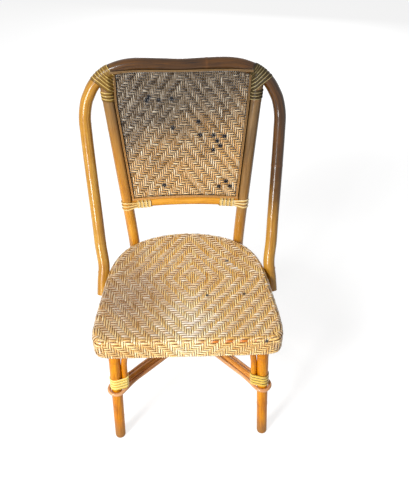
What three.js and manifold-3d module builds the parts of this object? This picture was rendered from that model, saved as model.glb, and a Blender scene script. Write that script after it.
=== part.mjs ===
// A rattan bistro chair: bent poles bound with flat cane, a woven seat and a woven back panel.
// Millimetres. x runs to the right as seen from the front, y to the rear, z up.
// The seat's front edge is laid out at y = 0 and the whole chair is centred over the origin at the end.
import * as THREE from "three";
import { mergeVertices } from "three/addons/utils/BufferGeometryUtils.js";
import Module from "manifold-3d";

const wasm = await Module();
wasm.setup();

// Clearances between pieces that touch
const fitGap = 0.3;
const bindingGap = 0.5;
const boreGap = 0.3;

// Seat
const seatWidth = 430;
const seatDepth = 374;
const seatHeight = 457;
const apronHeight = 60;
const seatDish = 9;
const weaveThickness = 3.2;
const seatRingDiameter = 22;
const apronRingDiameter = 17;
const weaveLip = 5;

// Slanting bands of the weave. The grooves between them make diamonds on the seat and arrows on the back.
const grooveDepth = 1.3;
const grooveWidth = 4.4;
const seatBandWidth = 32.1;
const seatBandReach = 42;
const seatMirrorReach = 208;
const seatDrift = 12;
const firstBandShare = 0.417;
const backBandWidth = 28.5;
const backBandRise = 36;
const backMiddle = 4;

// Back
const backWidth = 450;
const backHeight = 431;
const backLean = THREE.MathUtils.degToRad(14.1);
const hoopDiameter = 28;
const hoopRimReach = 247;
const hoopFootReach = 212;
const hoopFootDrop = 3;
const postDiameter = 27;
const postInset = 91;
const postSeatOffset = backWidth / 2 - postInset;
const postSplay = 0.0964;
const bottomRailDiameter = 19.5;
const bottomRailHeight = 94;
const bottomRailRise = 8;
const beadWidth = 8.5;
const beadHeight = 5;

// Legs
const legDiameter = 28;
const footDiameter = 25.5;
const footFlatDiameter = 17;
const frontLegInset = 43.8;
const frontLegOffset = seatWidth / 2 - frontLegInset;
const frontLegReach = 54.6;
const frontFootInset = 20;
const frontFootOffset = seatWidth / 2 - frontFootInset;
const frontFootReach = 50;
const frontLegTopDrop = 9;
const rearFootSplay = 31;
const rearFootOffset = postSeatOffset + rearFootSplay;
const rearFootReach = 448;
const rearLegBow = 6;
const footRounding = 7;

// Braces
const braceHeight = 216;
const braceRearDrop = 20;
const crossDiameter = 17;
const loopDiameter = 9;
const archDiameter = 15;
const archSideHeight = 318;
const archFootGap = 4;
const loopGap = 0.8;
const crossingCaneWidth = 6;
const crossingCanePitch = 8;

// Flat cane of the bindings
const caneThickness = 2;
const legCaneWidth = 8;
const legCanePitch = 10.4;
const cornerCaneWidth = 4;
const postCaneWidth = 4.6;
const postCanePitch = 5.7;
const railCaneWidth = 6.2;
const railCanePitch = 8.2;
const strapCaneWidth = 3.7;
const strapCanePitch = 4.7;
const strapSpreadPitch = 7.6;
const lashingInset = 10;
const legBindingGap = 2.6;

// Nails
const nailDiameter = 4;
const nailHeadDiameter = 9;
const nailHeadHeight = 2.4;

// How finely the round shapes are cut
const poleSides = 12;
const thinPoleSides = 8;
const outlineSteps = 44;
const grooveFloorSteps = outlineSteps / 2;
const bindingStepsPerTurn = 14;
const fineStepsPerTurn = 120;

// Right half of the seat's outer outline from the front middle to the rear middle,
// as shares of half the width and of the depth
const outlineShares = [
  [0, 0], [0.34, 0], [0.66, 0.001], [0.87, 0.006], [0.95, 0.022], [0.986, 0.055], [1, 0.11],
  [0.991, 0.21], [0.965, 0.335], [0.944, 0.421], [0.922, 0.52], [0.886, 0.637], [0.826, 0.74],
  [0.735, 0.826], [0.609, 0.892], [0.475, 0.936], [0.326, 0.966], [0.163, 0.986], [0, 0.992],
];

// Right half of the hoop above its foot: share of half the back's width, share of the back's height,
// and how far it stands in front of the back's plane as a share of the seat's depth
const hoopShares = [
  [0.925, 0.06, 0.22], [0.942, 0.173, 0.168], [0.973, 0.44, 0.094], [0.994, 0.644, 0.037],
  [0.998, 0.733, 0.011], [0.968, 0.8125, 0], [0.933, 0.852, 0], [0.896, 0.8865, 0], [0.85, 0.917, 0],
  [0.806, 0.9385, 0], [0.746, 0.9605, 0], [0.674, 0.9775, 0], [0.569, 0.993, 0], [0.444, 1, 0],
  [0.213, 0.9977, 0], [0, 0.9933, 0],
];

const rattan = { color: 0xc98a3c, roughness: 0.42, metalness: 0 };
const darkRattan = { color: 0xa9702f, roughness: 0.45, metalness: 0 };
const cane = { color: 0xe0c878, roughness: 0.5, metalness: 0 };
const wovenCane = { color: 0xc9a263, roughness: 0.62, metalness: 0 };
const steel = { color: 0x8c8479, roughness: 0.4, metalness: 1 };

const fullTurn = 2 * Math.PI;
const vec = (x, y, z) => new THREE.Vector3(x, y, z);
const up = vec(0, 0, 1);
const mirrored = (p, side) => vec(side * p.x, p.y, p.z);
const sides = { left: -1, right: 1 };

const chair = new THREE.Group();
chair.name = "rattan_bistro_chair";

// A closed surface through rings of points. A ring of one point is a tip. The first and last rings
// are capped, or joined to each other when the surface runs round in a loop.
function skin(rings, loops = false) {
  const starts = [];
  const points = [];
  for (const ring of rings) {
    starts.push(points.length);
    points.push(...ring);
  }
  const faces = [];
  const joins = loops ? rings.length : rings.length - 1;
  for (let i = 0; i < joins; i++) {
    const a = rings[i];
    const b = rings[(i + 1) % rings.length];
    const aStart = starts[i];
    const bStart = starts[(i + 1) % rings.length];
    const count = Math.max(a.length, b.length);
    for (let k = 0; k < count; k++) {
      const next = (k + 1) % count;
      if (a.length === 1) {
        faces.push([aStart, bStart + next, bStart + k]);
      } else if (b.length === 1) {
        faces.push([aStart + k, aStart + next, bStart]);
      } else {
        faces.push([aStart + k, aStart + next, bStart + next]);
        faces.push([aStart + k, bStart + next, bStart + k]);
      }
    }
  }
  if (!loops) {
    const last = rings.length - 1;
    for (let k = 1; k + 1 < rings[0].length; k++) faces.push([starts[0], starts[0] + k + 1, starts[0] + k]);
    for (let k = 1; k + 1 < rings[last].length; k++) {
      faces.push([starts[last], starts[last] + k, starts[last] + k + 1]);
    }
  }
  return solidFrom(points, faces);
}

// A manifold solid from points and triangles, turned to face outwards.
function solidFrom(points, faces) {
  let volume = 0;
  for (const [a, b, c] of faces) {
    volume += points[a].dot(vec(0, 0, 0).crossVectors(points[b], points[c]));
  }
  const order = volume < 0 ? faces.map(([a, b, c]) => [a, c, b]) : faces;
  return new wasm.Manifold(
    new wasm.Mesh({
      numProp: 3,
      vertProperties: new Float32Array(points.flatMap((p) => [p.x, p.y, p.z])),
      triVerts: new Uint32Array(order.flat()),
    }),
  );
}

// Adds a solid to the chair as one named mesh.
function addPiece(name, solid, look) {
  const made = solid.getMesh();
  const geometry = new THREE.BufferGeometry();
  geometry.setAttribute("position", new THREE.BufferAttribute(made.vertProperties, made.numProp));
  geometry.setIndex(new THREE.BufferAttribute(made.triVerts, 1));
  const clean = mergeVertices(geometry);
  clean.computeVertexNormals();
  const mesh = new THREE.Mesh(clean, new THREE.MeshStandardMaterial(look));
  mesh.name = name;
  chair.add(mesh);
}

const cutFrom = (solid, ...tools) => tools.reduce((left, tool) => left.subtract(tool), solid);

// A smooth curve through points, sampled at even spacing.
function alongCurve(points, steps, closed = false) {
  const curve = new THREE.CatmullRomCurve3(points, closed, "centripetal");
  const samples = curve.getSpacedPoints(steps);
  if (closed) samples.pop();
  return samples;
}

// A ring of points round a centre in the plane of two axes.
function ringOf(centre, axisA, axisB, radius, count) {
  return Array.from({ length: count }, (_, k) => {
    const angle = (fullTurn * k) / count;
    return centre
      .clone()
      .addScaledVector(axisA, radius * Math.cos(angle))
      .addScaledVector(axisB, radius * Math.sin(angle));
  });
}

// A round pole along a path, its rings square to the path. The ring axes are carried along without twist.
function pole(path, radius, count = poleSides, loops = false) {
  const last = path.length - 1;
  let axis = null;
  const rings = path.map((point, i) => {
    const before = path[i > 0 ? i - 1 : loops ? last : 0];
    const after = path[i < last ? i + 1 : loops ? 0 : last];
    const tangent = after.clone().sub(before).normalize();
    const guide = axis ?? (Math.abs(tangent.z) < Math.SQRT1_2 ? up : vec(0, 1, 0));
    axis = guide.clone().addScaledVector(tangent, -guide.dot(tangent)).normalize();
    const other = vec(0, 0, 0).crossVectors(tangent, axis);
    return ringOf(point, axis, other, radius, count);
  });
  return skin(rings, loops);
}

// A standing pole whose rings stay level, so that its foot is cut flat on the floor.
function standingPole(path, radiusAt) {
  const rings = path.map((point) => ringOf(point, vec(1, 0, 0), vec(0, 1, 0), radiusAt(point.z), poleSides));
  return skin(rings);
}

// Seat outline

const outlineCurve = (() => {
  const right = outlineShares.map(([x, y]) => vec((x * seatWidth) / 2, y * seatDepth, 0));
  const left = right.slice(1, -1).reverse().map((p) => mirrored(p, sides.left));
  return new THREE.CatmullRomCurve3([...right, ...left], true, "centripetal");
})();

// A point at a distance inside the outline, at share t of the way round and at height z.
function insideOutline(t, distance, z) {
  const point = outlineCurve.getPoint(t);
  const tangent = outlineCurve.getTangent(t);
  return vec(point.x - tangent.y * distance, point.y + tangent.x * distance, z);
}

// The share of the way round, on the right side, where a point at this distance meets a target.
function shareWhere(distance, missOf) {
  const tries = 4000;
  let best = 0;
  for (let i = 0; i <= tries; i++) {
    const t = i / tries / 2;
    if (missOf(insideOutline(t, distance, 0)) < missOf(insideOutline(best, distance, 0))) best = t;
  }
  return best;
}

const seatRingInset = weaveThickness + fitGap + seatRingDiameter / 2;
const apronRingInset = weaveThickness + fitGap + apronRingDiameter / 2;
const seatRingHeight = seatHeight - weaveThickness - fitGap - seatRingDiameter / 2;
const apronRingHeight = seatHeight - apronHeight + weaveThickness + fitGap + apronRingDiameter / 2;
const seatBottom = seatHeight - apronHeight;

// A round ring that follows the outline, built on the same steps as the woven shell round it.
function outlineRing(inset, height, diameter, count) {
  const rings = Array.from({ length: outlineSteps }, (_, i) => {
    const t = i / outlineSteps;
    return Array.from({ length: count }, (_, k) => {
      const angle = (fullTurn * k) / count;
      const radius = diameter / 2;
      return insideOutline(t, inset - radius * Math.cos(angle), height + radius * Math.sin(angle));
    });
  });
  return skin(rings, true);
}

// The dished top: rings round its middle, each at a share of the way to the rim and a drop below the top.
const dishShares = [0.3, 0.58, 0.8, 0.93];
const dishMiddle = (drop) => vec(0, seatDepth / 2, seatHeight - seatDish - drop);
const dishRing = (share, drop, steps = outlineSteps) =>
  Array.from({ length: steps }, (_, i) => {
    const edge = insideOutline(i / steps, seatRingInset, 0);
    const point = dishMiddle(0).lerp(edge, share);
    return vec(point.x, point.y, seatHeight - seatDish * (1 - share * share) - drop);
  });

// The woven seat: a dished top, a roll over the seat ring, an apron, and a turn under the apron ring.
function seatShell() {
  const rollSteps = 3;
  const underSteps = 4;
  const profileRing = (inset, height) =>
    Array.from({ length: outlineSteps }, (_, i) => insideOutline(i / outlineSteps, inset, height));
  const roll = (radius) =>
    Array.from({ length: rollSteps + 1 }, (_, i) => {
      const angle = ((fullTurn / 4) * i) / rollSteps;
      return [seatRingInset - radius * Math.sin(angle), seatRingHeight + radius * Math.cos(angle)];
    });
  const under = (radius) =>
    Array.from({ length: underSteps + 1 }, (_, i) => {
      const angle = ((fullTurn / 2) * i) / underSteps;
      return [apronRingInset - radius * Math.cos(angle), apronRingHeight - radius * Math.sin(angle)];
    });
  const outerLip = [2 * apronRingInset, apronRingHeight + weaveLip];
  const innerLip = [2 * apronRingInset - weaveThickness, apronRingHeight + weaveLip];
  const side = (thickness) => [...roll(seatRingInset - thickness), ...under(apronRingInset - thickness)];
  const outside = [...side(0), outerLip];
  const inside = [...side(weaveThickness), innerLip];
  return skin([
    [dishMiddle(0)],
    ...dishShares.map((share) => dishRing(share, 0)),
    ...outside.map(([inset, height]) => profileRing(inset, height)),
    ...inside.reverse().map(([inset, height]) => profileRing(inset, height)),
    ...dishShares.toReversed().map((share) => dishRing(share, weaveThickness)),
    [dishMiddle(weaveThickness)],
  ]);
}

// How far apart two slanting grooves are, square to them
const bandSpacing = (width, reach) => (width * reach) / Math.hypot(width, reach);

// Grooves in the seat's top: one diamond inside the other, all as deep below the dish.
function seatGrooves() {
  const halfShare = grooveWidth / 2 / bandSpacing(seatBandWidth, seatBandReach);
  const count = Math.ceil(seatWidth / 2 / seatBandWidth + seatMirrorReach / seatBandReach);
  const middleX = (y) => {
    const share = THREE.MathUtils.clamp(y / (2 * seatMirrorReach), 0, 1);
    return seatDrift * Math.sin(Math.PI * share);
  };
  const diamond = (bands) => {
    const front = seatMirrorReach - bands * seatBandReach;
    const rear = seatMirrorReach + bands * seatBandReach;
    const corners = [
      [middleX(front), front], [seatDrift + bands * seatBandWidth, seatMirrorReach],
      [middleX(rear), rear], [seatDrift - bands * seatBandWidth, seatMirrorReach],
    ];
    return skin([seatBottom, seatHeight + apronHeight].map((z) => corners.map(([x, y]) => vec(x, y, z))));
  };
  const aboveDish = skin([
    [dishMiddle(grooveDepth)],
    ...[...dishShares, 1].map((share) => dishRing(share, grooveDepth, grooveFloorSteps)),
    dishRing(1, -grooveDepth, grooveFloorSteps),
    [dishMiddle(-seatDish - grooveDepth)],
  ]);
  return Array.from({ length: count }, (_, k) => {
    const bands = k + firstBandShare;
    return diamond(bands + halfShare).subtract(diamond(bands - halfShare)).intersect(aboveDish);
  });
}

// Back plane: x across, v up along the leaning back, forward out of its front face

const postReach = -(postDiameter / 2 + fitGap);
const inFront = (p) => (p.y < seatDepth / 2 ? seatDepth : 0);
const postShare = shareWhere(postReach, (p) => Math.abs(p.x - postSeatOffset) + inFront(p));
const postContact = insideOutline(postShare, postReach, 0);
const backUp = vec(0, Math.sin(backLean), Math.cos(backLean));
const backFront = vec(0, -Math.cos(backLean), Math.sin(backLean));
const backPoint = (x, v, forward = 0) =>
  vec(x, postContact.y, seatHeight).addScaledVector(backUp, v).addScaledVector(backFront, forward);
const postX = (v) => postContact.x + postSplay * v;
const postDirection = backUp.clone().addScaledVector(vec(1, 0, 0), postSplay).normalize();

// Hoop

const hoopReach = -(hoopDiameter / 2 + fitGap);
const hoopFootZ = seatBottom - hoopFootDrop;

// The share of the outline beside the hoop's end at height z. The hoop leans forward as it goes down.
function hoopShareAt(z) {
  const y = THREE.MathUtils.mapLinear(z, hoopFootZ, seatHeight, hoopFootReach, hoopRimReach);
  return shareWhere(hoopReach, (p) => Math.abs(p.y - y) + (p.x < seatWidth / 4 ? seatWidth : 0));
}
const hoopEndAt = (z) => insideOutline(hoopShareAt(z), hoopReach, z);
const hoopCurve = (() => {
  const ends = [hoopFootZ, (hoopFootZ + seatHeight) / 2, seatHeight].map(hoopEndAt);
  const halfWidth = backWidth / 2;
  const rest = hoopShares.map(([x, v, ahead]) => backPoint(x * halfWidth, v * backHeight, ahead * seatDepth));
  const right = [...ends, ...rest];
  const left = right.slice(0, -1).reverse().map((p) => mirrored(p, sides.left));
  return new THREE.CatmullRomCurve3([...right, ...left], false, "centripetal");
})();
const hoopSteps = 60;
const hoopPath = hoopCurve.getSpacedPoints(hoopSteps);
const hoopSolid = (spread) => pole(hoopPath, hoopDiameter / 2 + spread);

// The hoop's height in the back plane at x, read off the upper part of the curve.
function hoopTopAt(x) {
  const samples = 400;
  let best = null;
  for (let i = 0; i <= samples; i++) {
    const p = hoopCurve.getPoint(i / samples);
    const v = (p.z - seatHeight) / Math.cos(backLean);
    if (v < backHeight * 0.9) continue;
    if (!best || Math.abs(p.x - x) < Math.abs(best.x - x)) best = { x: p.x, v };
  }
  return best.v;
}

// Posts, each of them one pole from the floor to the hoop

const postSteps = 22;
const postTop = hoopTopAt(postX(backHeight));
function postPath(side) {
  const bend = vec(postContact.x, postContact.y, seatBottom + apronHeight / 2);
  const footPoint = vec(rearFootOffset, rearFootReach, 0);
  const shareDown = (share, bow) => {
    const p = bend.clone().lerp(footPoint, share);
    return vec(p.x, p.y - bow, p.z);
  };
  const straight = [0.12, 0.35, 0.7, 1].map((share) => backPoint(postX(share * postTop), share * postTop));
  const points = [
    footPoint, shareDown(0.8, rearLegBow / 2), shareDown(0.45, rearLegBow), shareDown(0.17, rearLegBow), bend,
    ...straight,
  ];
  return alongCurve(points, postSteps).map((p) => mirrored(p, side));
}
// Height above the floor as a share of the foot's rounding, and radius as a share of the full radius
const footRoundShares = [[0, footFlatDiameter / footDiameter], [0.17, 0.82], [0.5, 0.93], [1, 1]];
const footEase = footRoundShares.map(([height, radius]) => [height * footRounding, radius]);

// The radius of a leg: rounded at the foot, then growing evenly to the top.
function legRadiusAt(z, topDiameter, topZ) {
  const share = Math.min(1, z / topZ);
  const full = (footDiameter + (topDiameter - footDiameter) * share) / 2;
  const index = footEase.findIndex(([height]) => height >= z - 1e-6);
  if (index < 0) return full;
  if (index === 0) return full * footEase[0][1];
  const [lowZ, lowShare] = footEase[index - 1];
  const [highZ, highShare] = footEase[index];
  return full * (lowShare + ((highShare - lowShare) * (z - lowZ)) / (highZ - lowZ));
}

// A path with the extra levels that round the foot.
function withFootLevels(path) {
  const [foot, next] = path;
  const levels = footEase.slice(1).map(([z]) => foot.clone().lerp(next, (z - foot.z) / (next.z - foot.z)));
  return [foot, ...levels, ...path.slice(1)];
}
const postSolid = (side, spread) =>
  standingPole(withFootLevels(postPath(side)), (z) => legRadiusAt(z, postDiameter, seatBottom) + spread);

// Front legs

const frontLegTop = seatHeight - weaveThickness - frontLegTopDrop;
function frontLegAt(side, z) {
  const share = z / seatRingHeight;
  const x = frontFootOffset + (frontLegOffset - frontFootOffset) * share;
  const y = frontFootReach + (frontLegReach - frontFootReach) * share;
  return vec(side * x, y, z);
}
const frontLegLevels = 6;
const frontLegSolid = (side, spread) => {
  const path = Array.from({ length: frontLegLevels + 1 }, (_, i) =>
    frontLegAt(side, (frontLegTop * i) / frontLegLevels),
  );
  return standingPole(withFootLevels(path), (z) => legRadiusAt(z, legDiameter, frontLegTop) + spread);
};

// The middle of a rear leg at height z, read off its path.
function rearLegAt(side, z) {
  const path = postPath(side);
  const above = path.findIndex((p) => p.z >= z);
  const low = path[above - 1];
  const high = path[above];
  return low.clone().lerp(high, (z - low.z) / (high.z - low.z));
}

// Bottom rail of the back

const railEnd = postX(bottomRailHeight);
const railV = (x) => bottomRailHeight + bottomRailRise * (1 - (x / railEnd) ** 2);
const railSteps = 12;
const railPath = Array.from({ length: railSteps + 1 }, (_, i) => {
  const x = railEnd * ((2 * i) / railSteps - 1);
  return backPoint(x, railV(x));
});
const railSolid = (spread) => pole(railPath, bottomRailDiameter / 2 + spread, thinPoleSides + 2);

// Woven back panel, inside the posts and the rails

const panelColumns = 14;
const panelTop = (x) => hoopTopAt(x) - hoopDiameter / 2 - fitGap;
const panelBottom = (x) => railV(x) + bottomRailDiameter / 2 + fitGap;
const panelEdge = (v) => postX(v) - postDiameter / 2 - fitGap;
function panelSolid() {
  const topV = panelTop(panelEdge(backHeight));
  const bottomV = panelBottom(panelEdge(bottomRailHeight));
  const rings = Array.from({ length: panelColumns + 1 }, (_, i) => {
    const share = (2 * i) / panelColumns - 1;
    const topX = share * panelEdge(topV);
    const bottomX = share * panelEdge(bottomV);
    const half = weaveThickness / 2;
    const top = Math.min(panelTop(topX), panelTop(bottomX));
    return [
      backPoint(bottomX, panelBottom(bottomX), half),
      backPoint(topX, top, half),
      backPoint(topX, top, -half),
      backPoint(bottomX, panelBottom(bottomX), -half),
    ];
  });
  return skin(rings);
}

// Grooves in the panel: arrows pointing up, one above the other. Those of the rear face lie between the front ones.
function panelGrooves() {
  const steep = backBandRise / backBandWidth;
  const grooveRise = grooveWidth * Math.hypot(1, steep);
  const under = (v, low, high, spread) => {
    const halfWidth = backWidth / 2 + spread;
    const bottom = -backHeight - spread;
    const corners = [
      [-halfWidth, v - steep * (halfWidth + backMiddle)], [backMiddle, v],
      [halfWidth, v - steep * (halfWidth - backMiddle)], [halfWidth, bottom], [-halfWidth, bottom],
    ];
    return skin([low - spread, high + spread].map((ahead) => corners.map(([x, y]) => backPoint(x, y, ahead))));
  };
  const high = weaveThickness / 2 + grooveDepth;
  const low = weaveThickness / 2 - grooveDepth;
  const count = Math.ceil((backHeight + (steep * backWidth) / 2) / backBandRise);
  const grooveAt = (v, from, to) =>
    under(v + grooveRise / 2, from, to, 0).subtract(under(v - grooveRise / 2, from, to, fitGap));
  return Array.from({ length: count }, (_, k) => {
    const v = bottomRailHeight + k * backBandRise;
    return [grooveAt(v, low, high), grooveAt(v + backBandRise / 2, -high, -low)];
  }).flat();
}

// Half-round beads that cover the edge of the panel, in front and behind

const beadProfile = [[-0.5, 0], [-0.36, 0.72], [0, 1], [0.36, 0.72], [0.5, 0]];
const beadInset = fitGap + beadWidth / 2;
const beadFoot = weaveThickness / 2 + fitGap;

// A bead along (x, v) points of the back plane, standing out of its front face or its rear face.
function beadSolid(line, face, spread) {
  const rings = line.map(([x, v], i) => {
    const [ax, av] = line[Math.max(0, i - 1)];
    const [bx, bv] = line[Math.min(line.length - 1, i + 1)];
    const length = Math.hypot(bx - ax, bv - av);
    const acrossX = -(bv - av) / length;
    const acrossV = (bx - ax) / length;
    return beadProfile.map(([w, h]) => {
      const aside = w * (beadWidth + 2 * spread);
      const out = beadFoot - (h === 0 ? spread : 0) + h * (beadHeight + spread);
      return backPoint(x + acrossX * aside, v + acrossV * aside, face * out);
    });
  });
  return skin(rings);
}

const beadLine = (from, to, steps, at) =>
  Array.from({ length: steps + 1 }, (_, i) => at(from + ((to - from) * i) / steps));
const topBeadV = (x) => panelTop(x) - beadWidth / 2;
const bottomBeadV = (x) => panelBottom(x) + beadWidth / 2;
const topBeadEnd = panelEdge(topBeadV(panelEdge(backHeight)));
const bottomBeadEnd = panelEdge(bottomBeadV(panelEdge(bottomRailHeight)));
const beadSteps = 12;
const topBeadLine = beadLine(-topBeadEnd, topBeadEnd, beadSteps, (x) => [x, topBeadV(x)]);
const bottomBeadLine = beadLine(-bottomBeadEnd, bottomBeadEnd, beadSteps, (x) => [x, bottomBeadV(x)]);
const sideBeadLine = (side) => {
  const across = beadInset * Math.hypot(1, postSplay);
  return beadLine(bottomRailHeight, backHeight, 1, (v) => [side * (postX(v) - postDiameter / 2 - across), v]);
};

// Bindings of flat cane: each one a single strip wound round a bundle of poles

const caneSection = (width) => [
  [-width / 2, caneThickness / 2], [width / 2, caneThickness / 2],
  [width / 2, -caneThickness / 2], [-width / 2, -caneThickness / 2],
];

// The strip's rings along knots, each knot a point with the direction that faces away from the poles.
function stripRings(knots, width) {
  return knots.map(({ point, out }, i) => {
    const before = knots[Math.max(0, i - 1)].point;
    const after = knots[Math.min(knots.length - 1, i + 1)].point;
    const tangent = after.clone().sub(before).normalize();
    const face = out.clone().addScaledVector(tangent, -out.dot(tangent)).normalize();
    const across = vec(0, 0, 0).crossVectors(tangent, face);
    return caneSection(width).map(([w, h]) =>
      point.clone().addScaledVector(across, w).addScaledVector(face, h),
    );
  });
}

// The knots of a winding. planeAt(turn) gives the plane of a turn: two axes and the circles in it that
// the strip goes round, each a centre and a radius. The strip follows the outside of all the circles,
// and lies flat on a pole whose direction is given as along.
function windingKnots(planeAt, turns, startAngle) {
  const lift = bindingGap + caneThickness / 2;
  const fine = [];
  const count = Math.round(turns * fineStepsPerTurn);
  for (let i = 0; i <= count; i++) {
    const turn = i / fineStepsPerTurn;
    const angle = startAngle + fullTurn * turn;
    const { axisA, axisB, circles } = planeAt(turn);
    const out = axisA.clone().multiplyScalar(Math.cos(angle)).addScaledVector(axisB, Math.sin(angle));
    const reach = circles.map(({ centre, radius }) => centre.dot(out) + radius);
    const owner = reach.indexOf(Math.max(...reach));
    const { centre, radius, along } = circles[owner];
    const point = centre.clone().addScaledVector(out, radius + lift);
    const face = along ? out.clone().addScaledVector(along, -out.dot(along)).normalize() : out;
    fine.push({ point, out: face, owner });
  }
  const spans = [];
  for (const sample of fine) {
    const open = spans.at(-1);
    if (open && open.at(-1).owner === sample.owner) open.push(sample);
    else spans.push([sample]);
  }
  return spans.flatMap((span) => {
    const steps = Math.max(1, Math.ceil(((span.length - 1) * bindingStepsPerTurn) / fineStepsPerTurn));
    return Array.from({ length: steps + 1 }, (_, k) => span[Math.round(((span.length - 1) * k) / steps)]);
  });
}

// A strip with each end run on straight for its own width.
function windingSolid(name, knots, width) {
  const runOn = (end, next) => ({
    point: end.point.clone().add(end.point.clone().sub(next.point).setLength(width)),
    out: end.out,
  });
  const unique = knots.filter((knot, i) => i === 0 || knot.point.distanceTo(knots[i - 1].point) > fitGap);
  const all = [runOn(unique[0], unique[1]), ...unique, runOn(unique.at(-1), unique.at(-2))];
  const rings = stripRings(all, width);
  console.log(name + ": least gap to itself " + leastSelfGap(rings, width).toFixed(2) + " mm");
  return skin(rings);
}

// The least distance between the edges of neighbouring turns, over points along the strip.
function leastSelfGap(rings, width) {
  const between = 4;
  const edges = [];
  for (let i = 0; i + 1 < rings.length; i++) {
    for (let k = 0; k < between; k++) {
      edges.push(rings[i].map((p, j) => p.clone().lerp(rings[i + 1][j], k / between)));
    }
  }
  const apart = 2 * width;
  let least = Infinity;
  const travelled = [0];
  for (let i = 1; i < edges.length; i++) {
    travelled.push(travelled[i - 1] + edges[i][0].distanceTo(edges[i - 1][0]));
  }
  for (let i = 0; i < edges.length; i++) {
    for (let j = i + 1; j < edges.length; j++) {
      if (travelled[j] - travelled[i] < apart) continue;
      for (const p of edges[i]) {
        for (const q of edges[j]) least = Math.min(least, p.distanceTo(q));
      }
    }
  }
  return least;
}

// Corner bindings: slanting turns round the hoop and the top of the post, side by side

const cornerTurns = 5;
const cornerStart = { v: 0.843 * backHeight, angle: THREE.MathUtils.degToRad(41) };
const cornerEnd = { v: 0.933 * backHeight, angle: THREE.MathUtils.degToRad(52) };
function cornerPlane(side, share) {
  const v = THREE.MathUtils.lerp(cornerStart.v, cornerEnd.v, share);
  const angle = THREE.MathUtils.lerp(cornerStart.angle, cornerEnd.angle, share);
  const away = vec(side * Math.cos(angle), 0, 0).addScaledVector(backUp, Math.sin(angle));
  const slant = (bindingGap + caneThickness / 2) * (1 - Math.cos(angle));
  const inner = backPoint(side * (postX(v) - postDiameter / 2 - slant), v);
  const normal = vec(0, 0, 0).crossVectors(away, backFront);
  const samples = 600;
  let crossing = null;
  let hoopAlong = null;
  let least = Infinity;
  for (let i = 0; i <= samples; i++) {
    const t = side > 0 ? i / samples / 2 : 1 - i / samples / 2;
    const p = hoopCurve.getPoint(t);
    if (p.z < seatHeight + backHeight / 2) continue;
    const miss = Math.abs(p.clone().sub(inner).dot(normal));
    if (miss < least) [least, crossing, hoopAlong] = [miss, p, hoopCurve.getTangent(t)];
  }
  const postCircle = inner.clone().addScaledVector(away, postDiameter / 2);
  const flatCrossing = crossing.clone().addScaledVector(normal, -crossing.clone().sub(inner).dot(normal));
  const beyondPost = flatCrossing.clone().sub(postCircle).dot(away);
  const circles = [{ centre: flatCrossing, radius: hoopDiameter / 2 + 2 * fitGap, along: hoopAlong }];
  if (beyondPost > 0) {
    circles.push({ centre: postCircle, radius: postDiameter / 2, along: mirrored(postDirection, side) });
  }
  return { axisA: away, axisB: backFront, circles };
}
const rearAngle = -fullTurn / 4;
const cornerBinding = (name, side) =>
  windingSolid(
    name,
    windingKnots((turn) => cornerPlane(side, turn / cornerTurns), cornerTurns, rearAngle),
    cornerCaneWidth,
  );

// Short bindings round the post alone, just under the corner bindings

const postTurns = 3;
const postBindingV = 0.798 * backHeight;
const postBindingPlane = (side) => (turn) => {
  const v = postBindingV + postCanePitch * turn;
  const across = vec(side, 0, 0).addScaledVector(backUp, -postSplay).normalize();
  return {
    axisA: across,
    axisB: backFront,
    circles: [{ centre: backPoint(side * postX(v), v), radius: postDiameter / 2 }],
  };
};
const postBinding = (name, side) =>
  windingSolid(name, windingKnots(postBindingPlane(side), postTurns, rearAngle), postCaneWidth);

// Bottom rail lashings: a strap round the post, locked by turns round the end of the rail

const strapPasses = 3;
const lashingTurns = 4;
const lashingStart = postDiameter / 2 + lashingInset;
const strapLength = lashingStart + lashingTurns * railCanePitch - caneThickness;
const strapOut = 2 * bindingGap + caneThickness / 2;
function strapKnots(side) {
  const knots = [];
  const arcSteps = 8;
  const turnSteps = 3;
  const place = (inward, forward, v) => backPoint(side * (railEnd - inward), v, forward);
  for (let pass = 0; pass < strapPasses; pass++) {
    const offset = pass - (strapPasses - 1) / 2;
    const face = pass % 2 === 0 ? 1 : -1;
    const tilt = (inward) => railV(railEnd - inward) + strapCanePitch * offset;
    const spreadV = bottomRailHeight + strapSpreadPitch * offset;
    const railFace = bottomRailDiameter / 2 + strapOut;
    const atRail = (inward, front) => ({
      point: place(inward, front * railFace, tilt(inward)),
      out: backFront.clone().multiplyScalar(front),
    });
    const run = [atRail(strapLength, face), atRail(lashingStart, face)];
    for (let k = 0; k <= arcSteps; k++) {
      const angle = face * (fullTurn / 4) * (1 - (2 * k) / arcSteps);
      const radius = postDiameter / 2 + strapOut;
      const out = vec(side * Math.cos(angle), 0, 0).addScaledVector(backFront, Math.sin(angle));
      const outward = radius * Math.cos(angle) + postX(spreadV) - railEnd;
      run.push({ point: place(-outward, radius * Math.sin(angle), spreadV), out });
    }
    run.push(atRail(lashingStart, -face), atRail(strapLength, -face));
    knots.push(...run);
    if (pass + 1 < strapPasses) {
      for (let k = 1; k < turnSteps; k++) {
        const angle = ((fullTurn / 2) * k) / turnSteps;
        const bulge = (strapCanePitch / 2) * Math.sin(angle);
        const rise = (strapCanePitch / 2) * (1 - Math.cos(angle));
        knots.push({
          point: place(strapLength + bulge, -face * railFace, tilt(strapLength) + rise),
          out: backFront.clone().multiplyScalar(-face),
        });
      }
    }
  }
  return knots;
}
const strap = (name, side) => windingSolid(name, strapKnots(side), strapCaneWidth);

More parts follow.
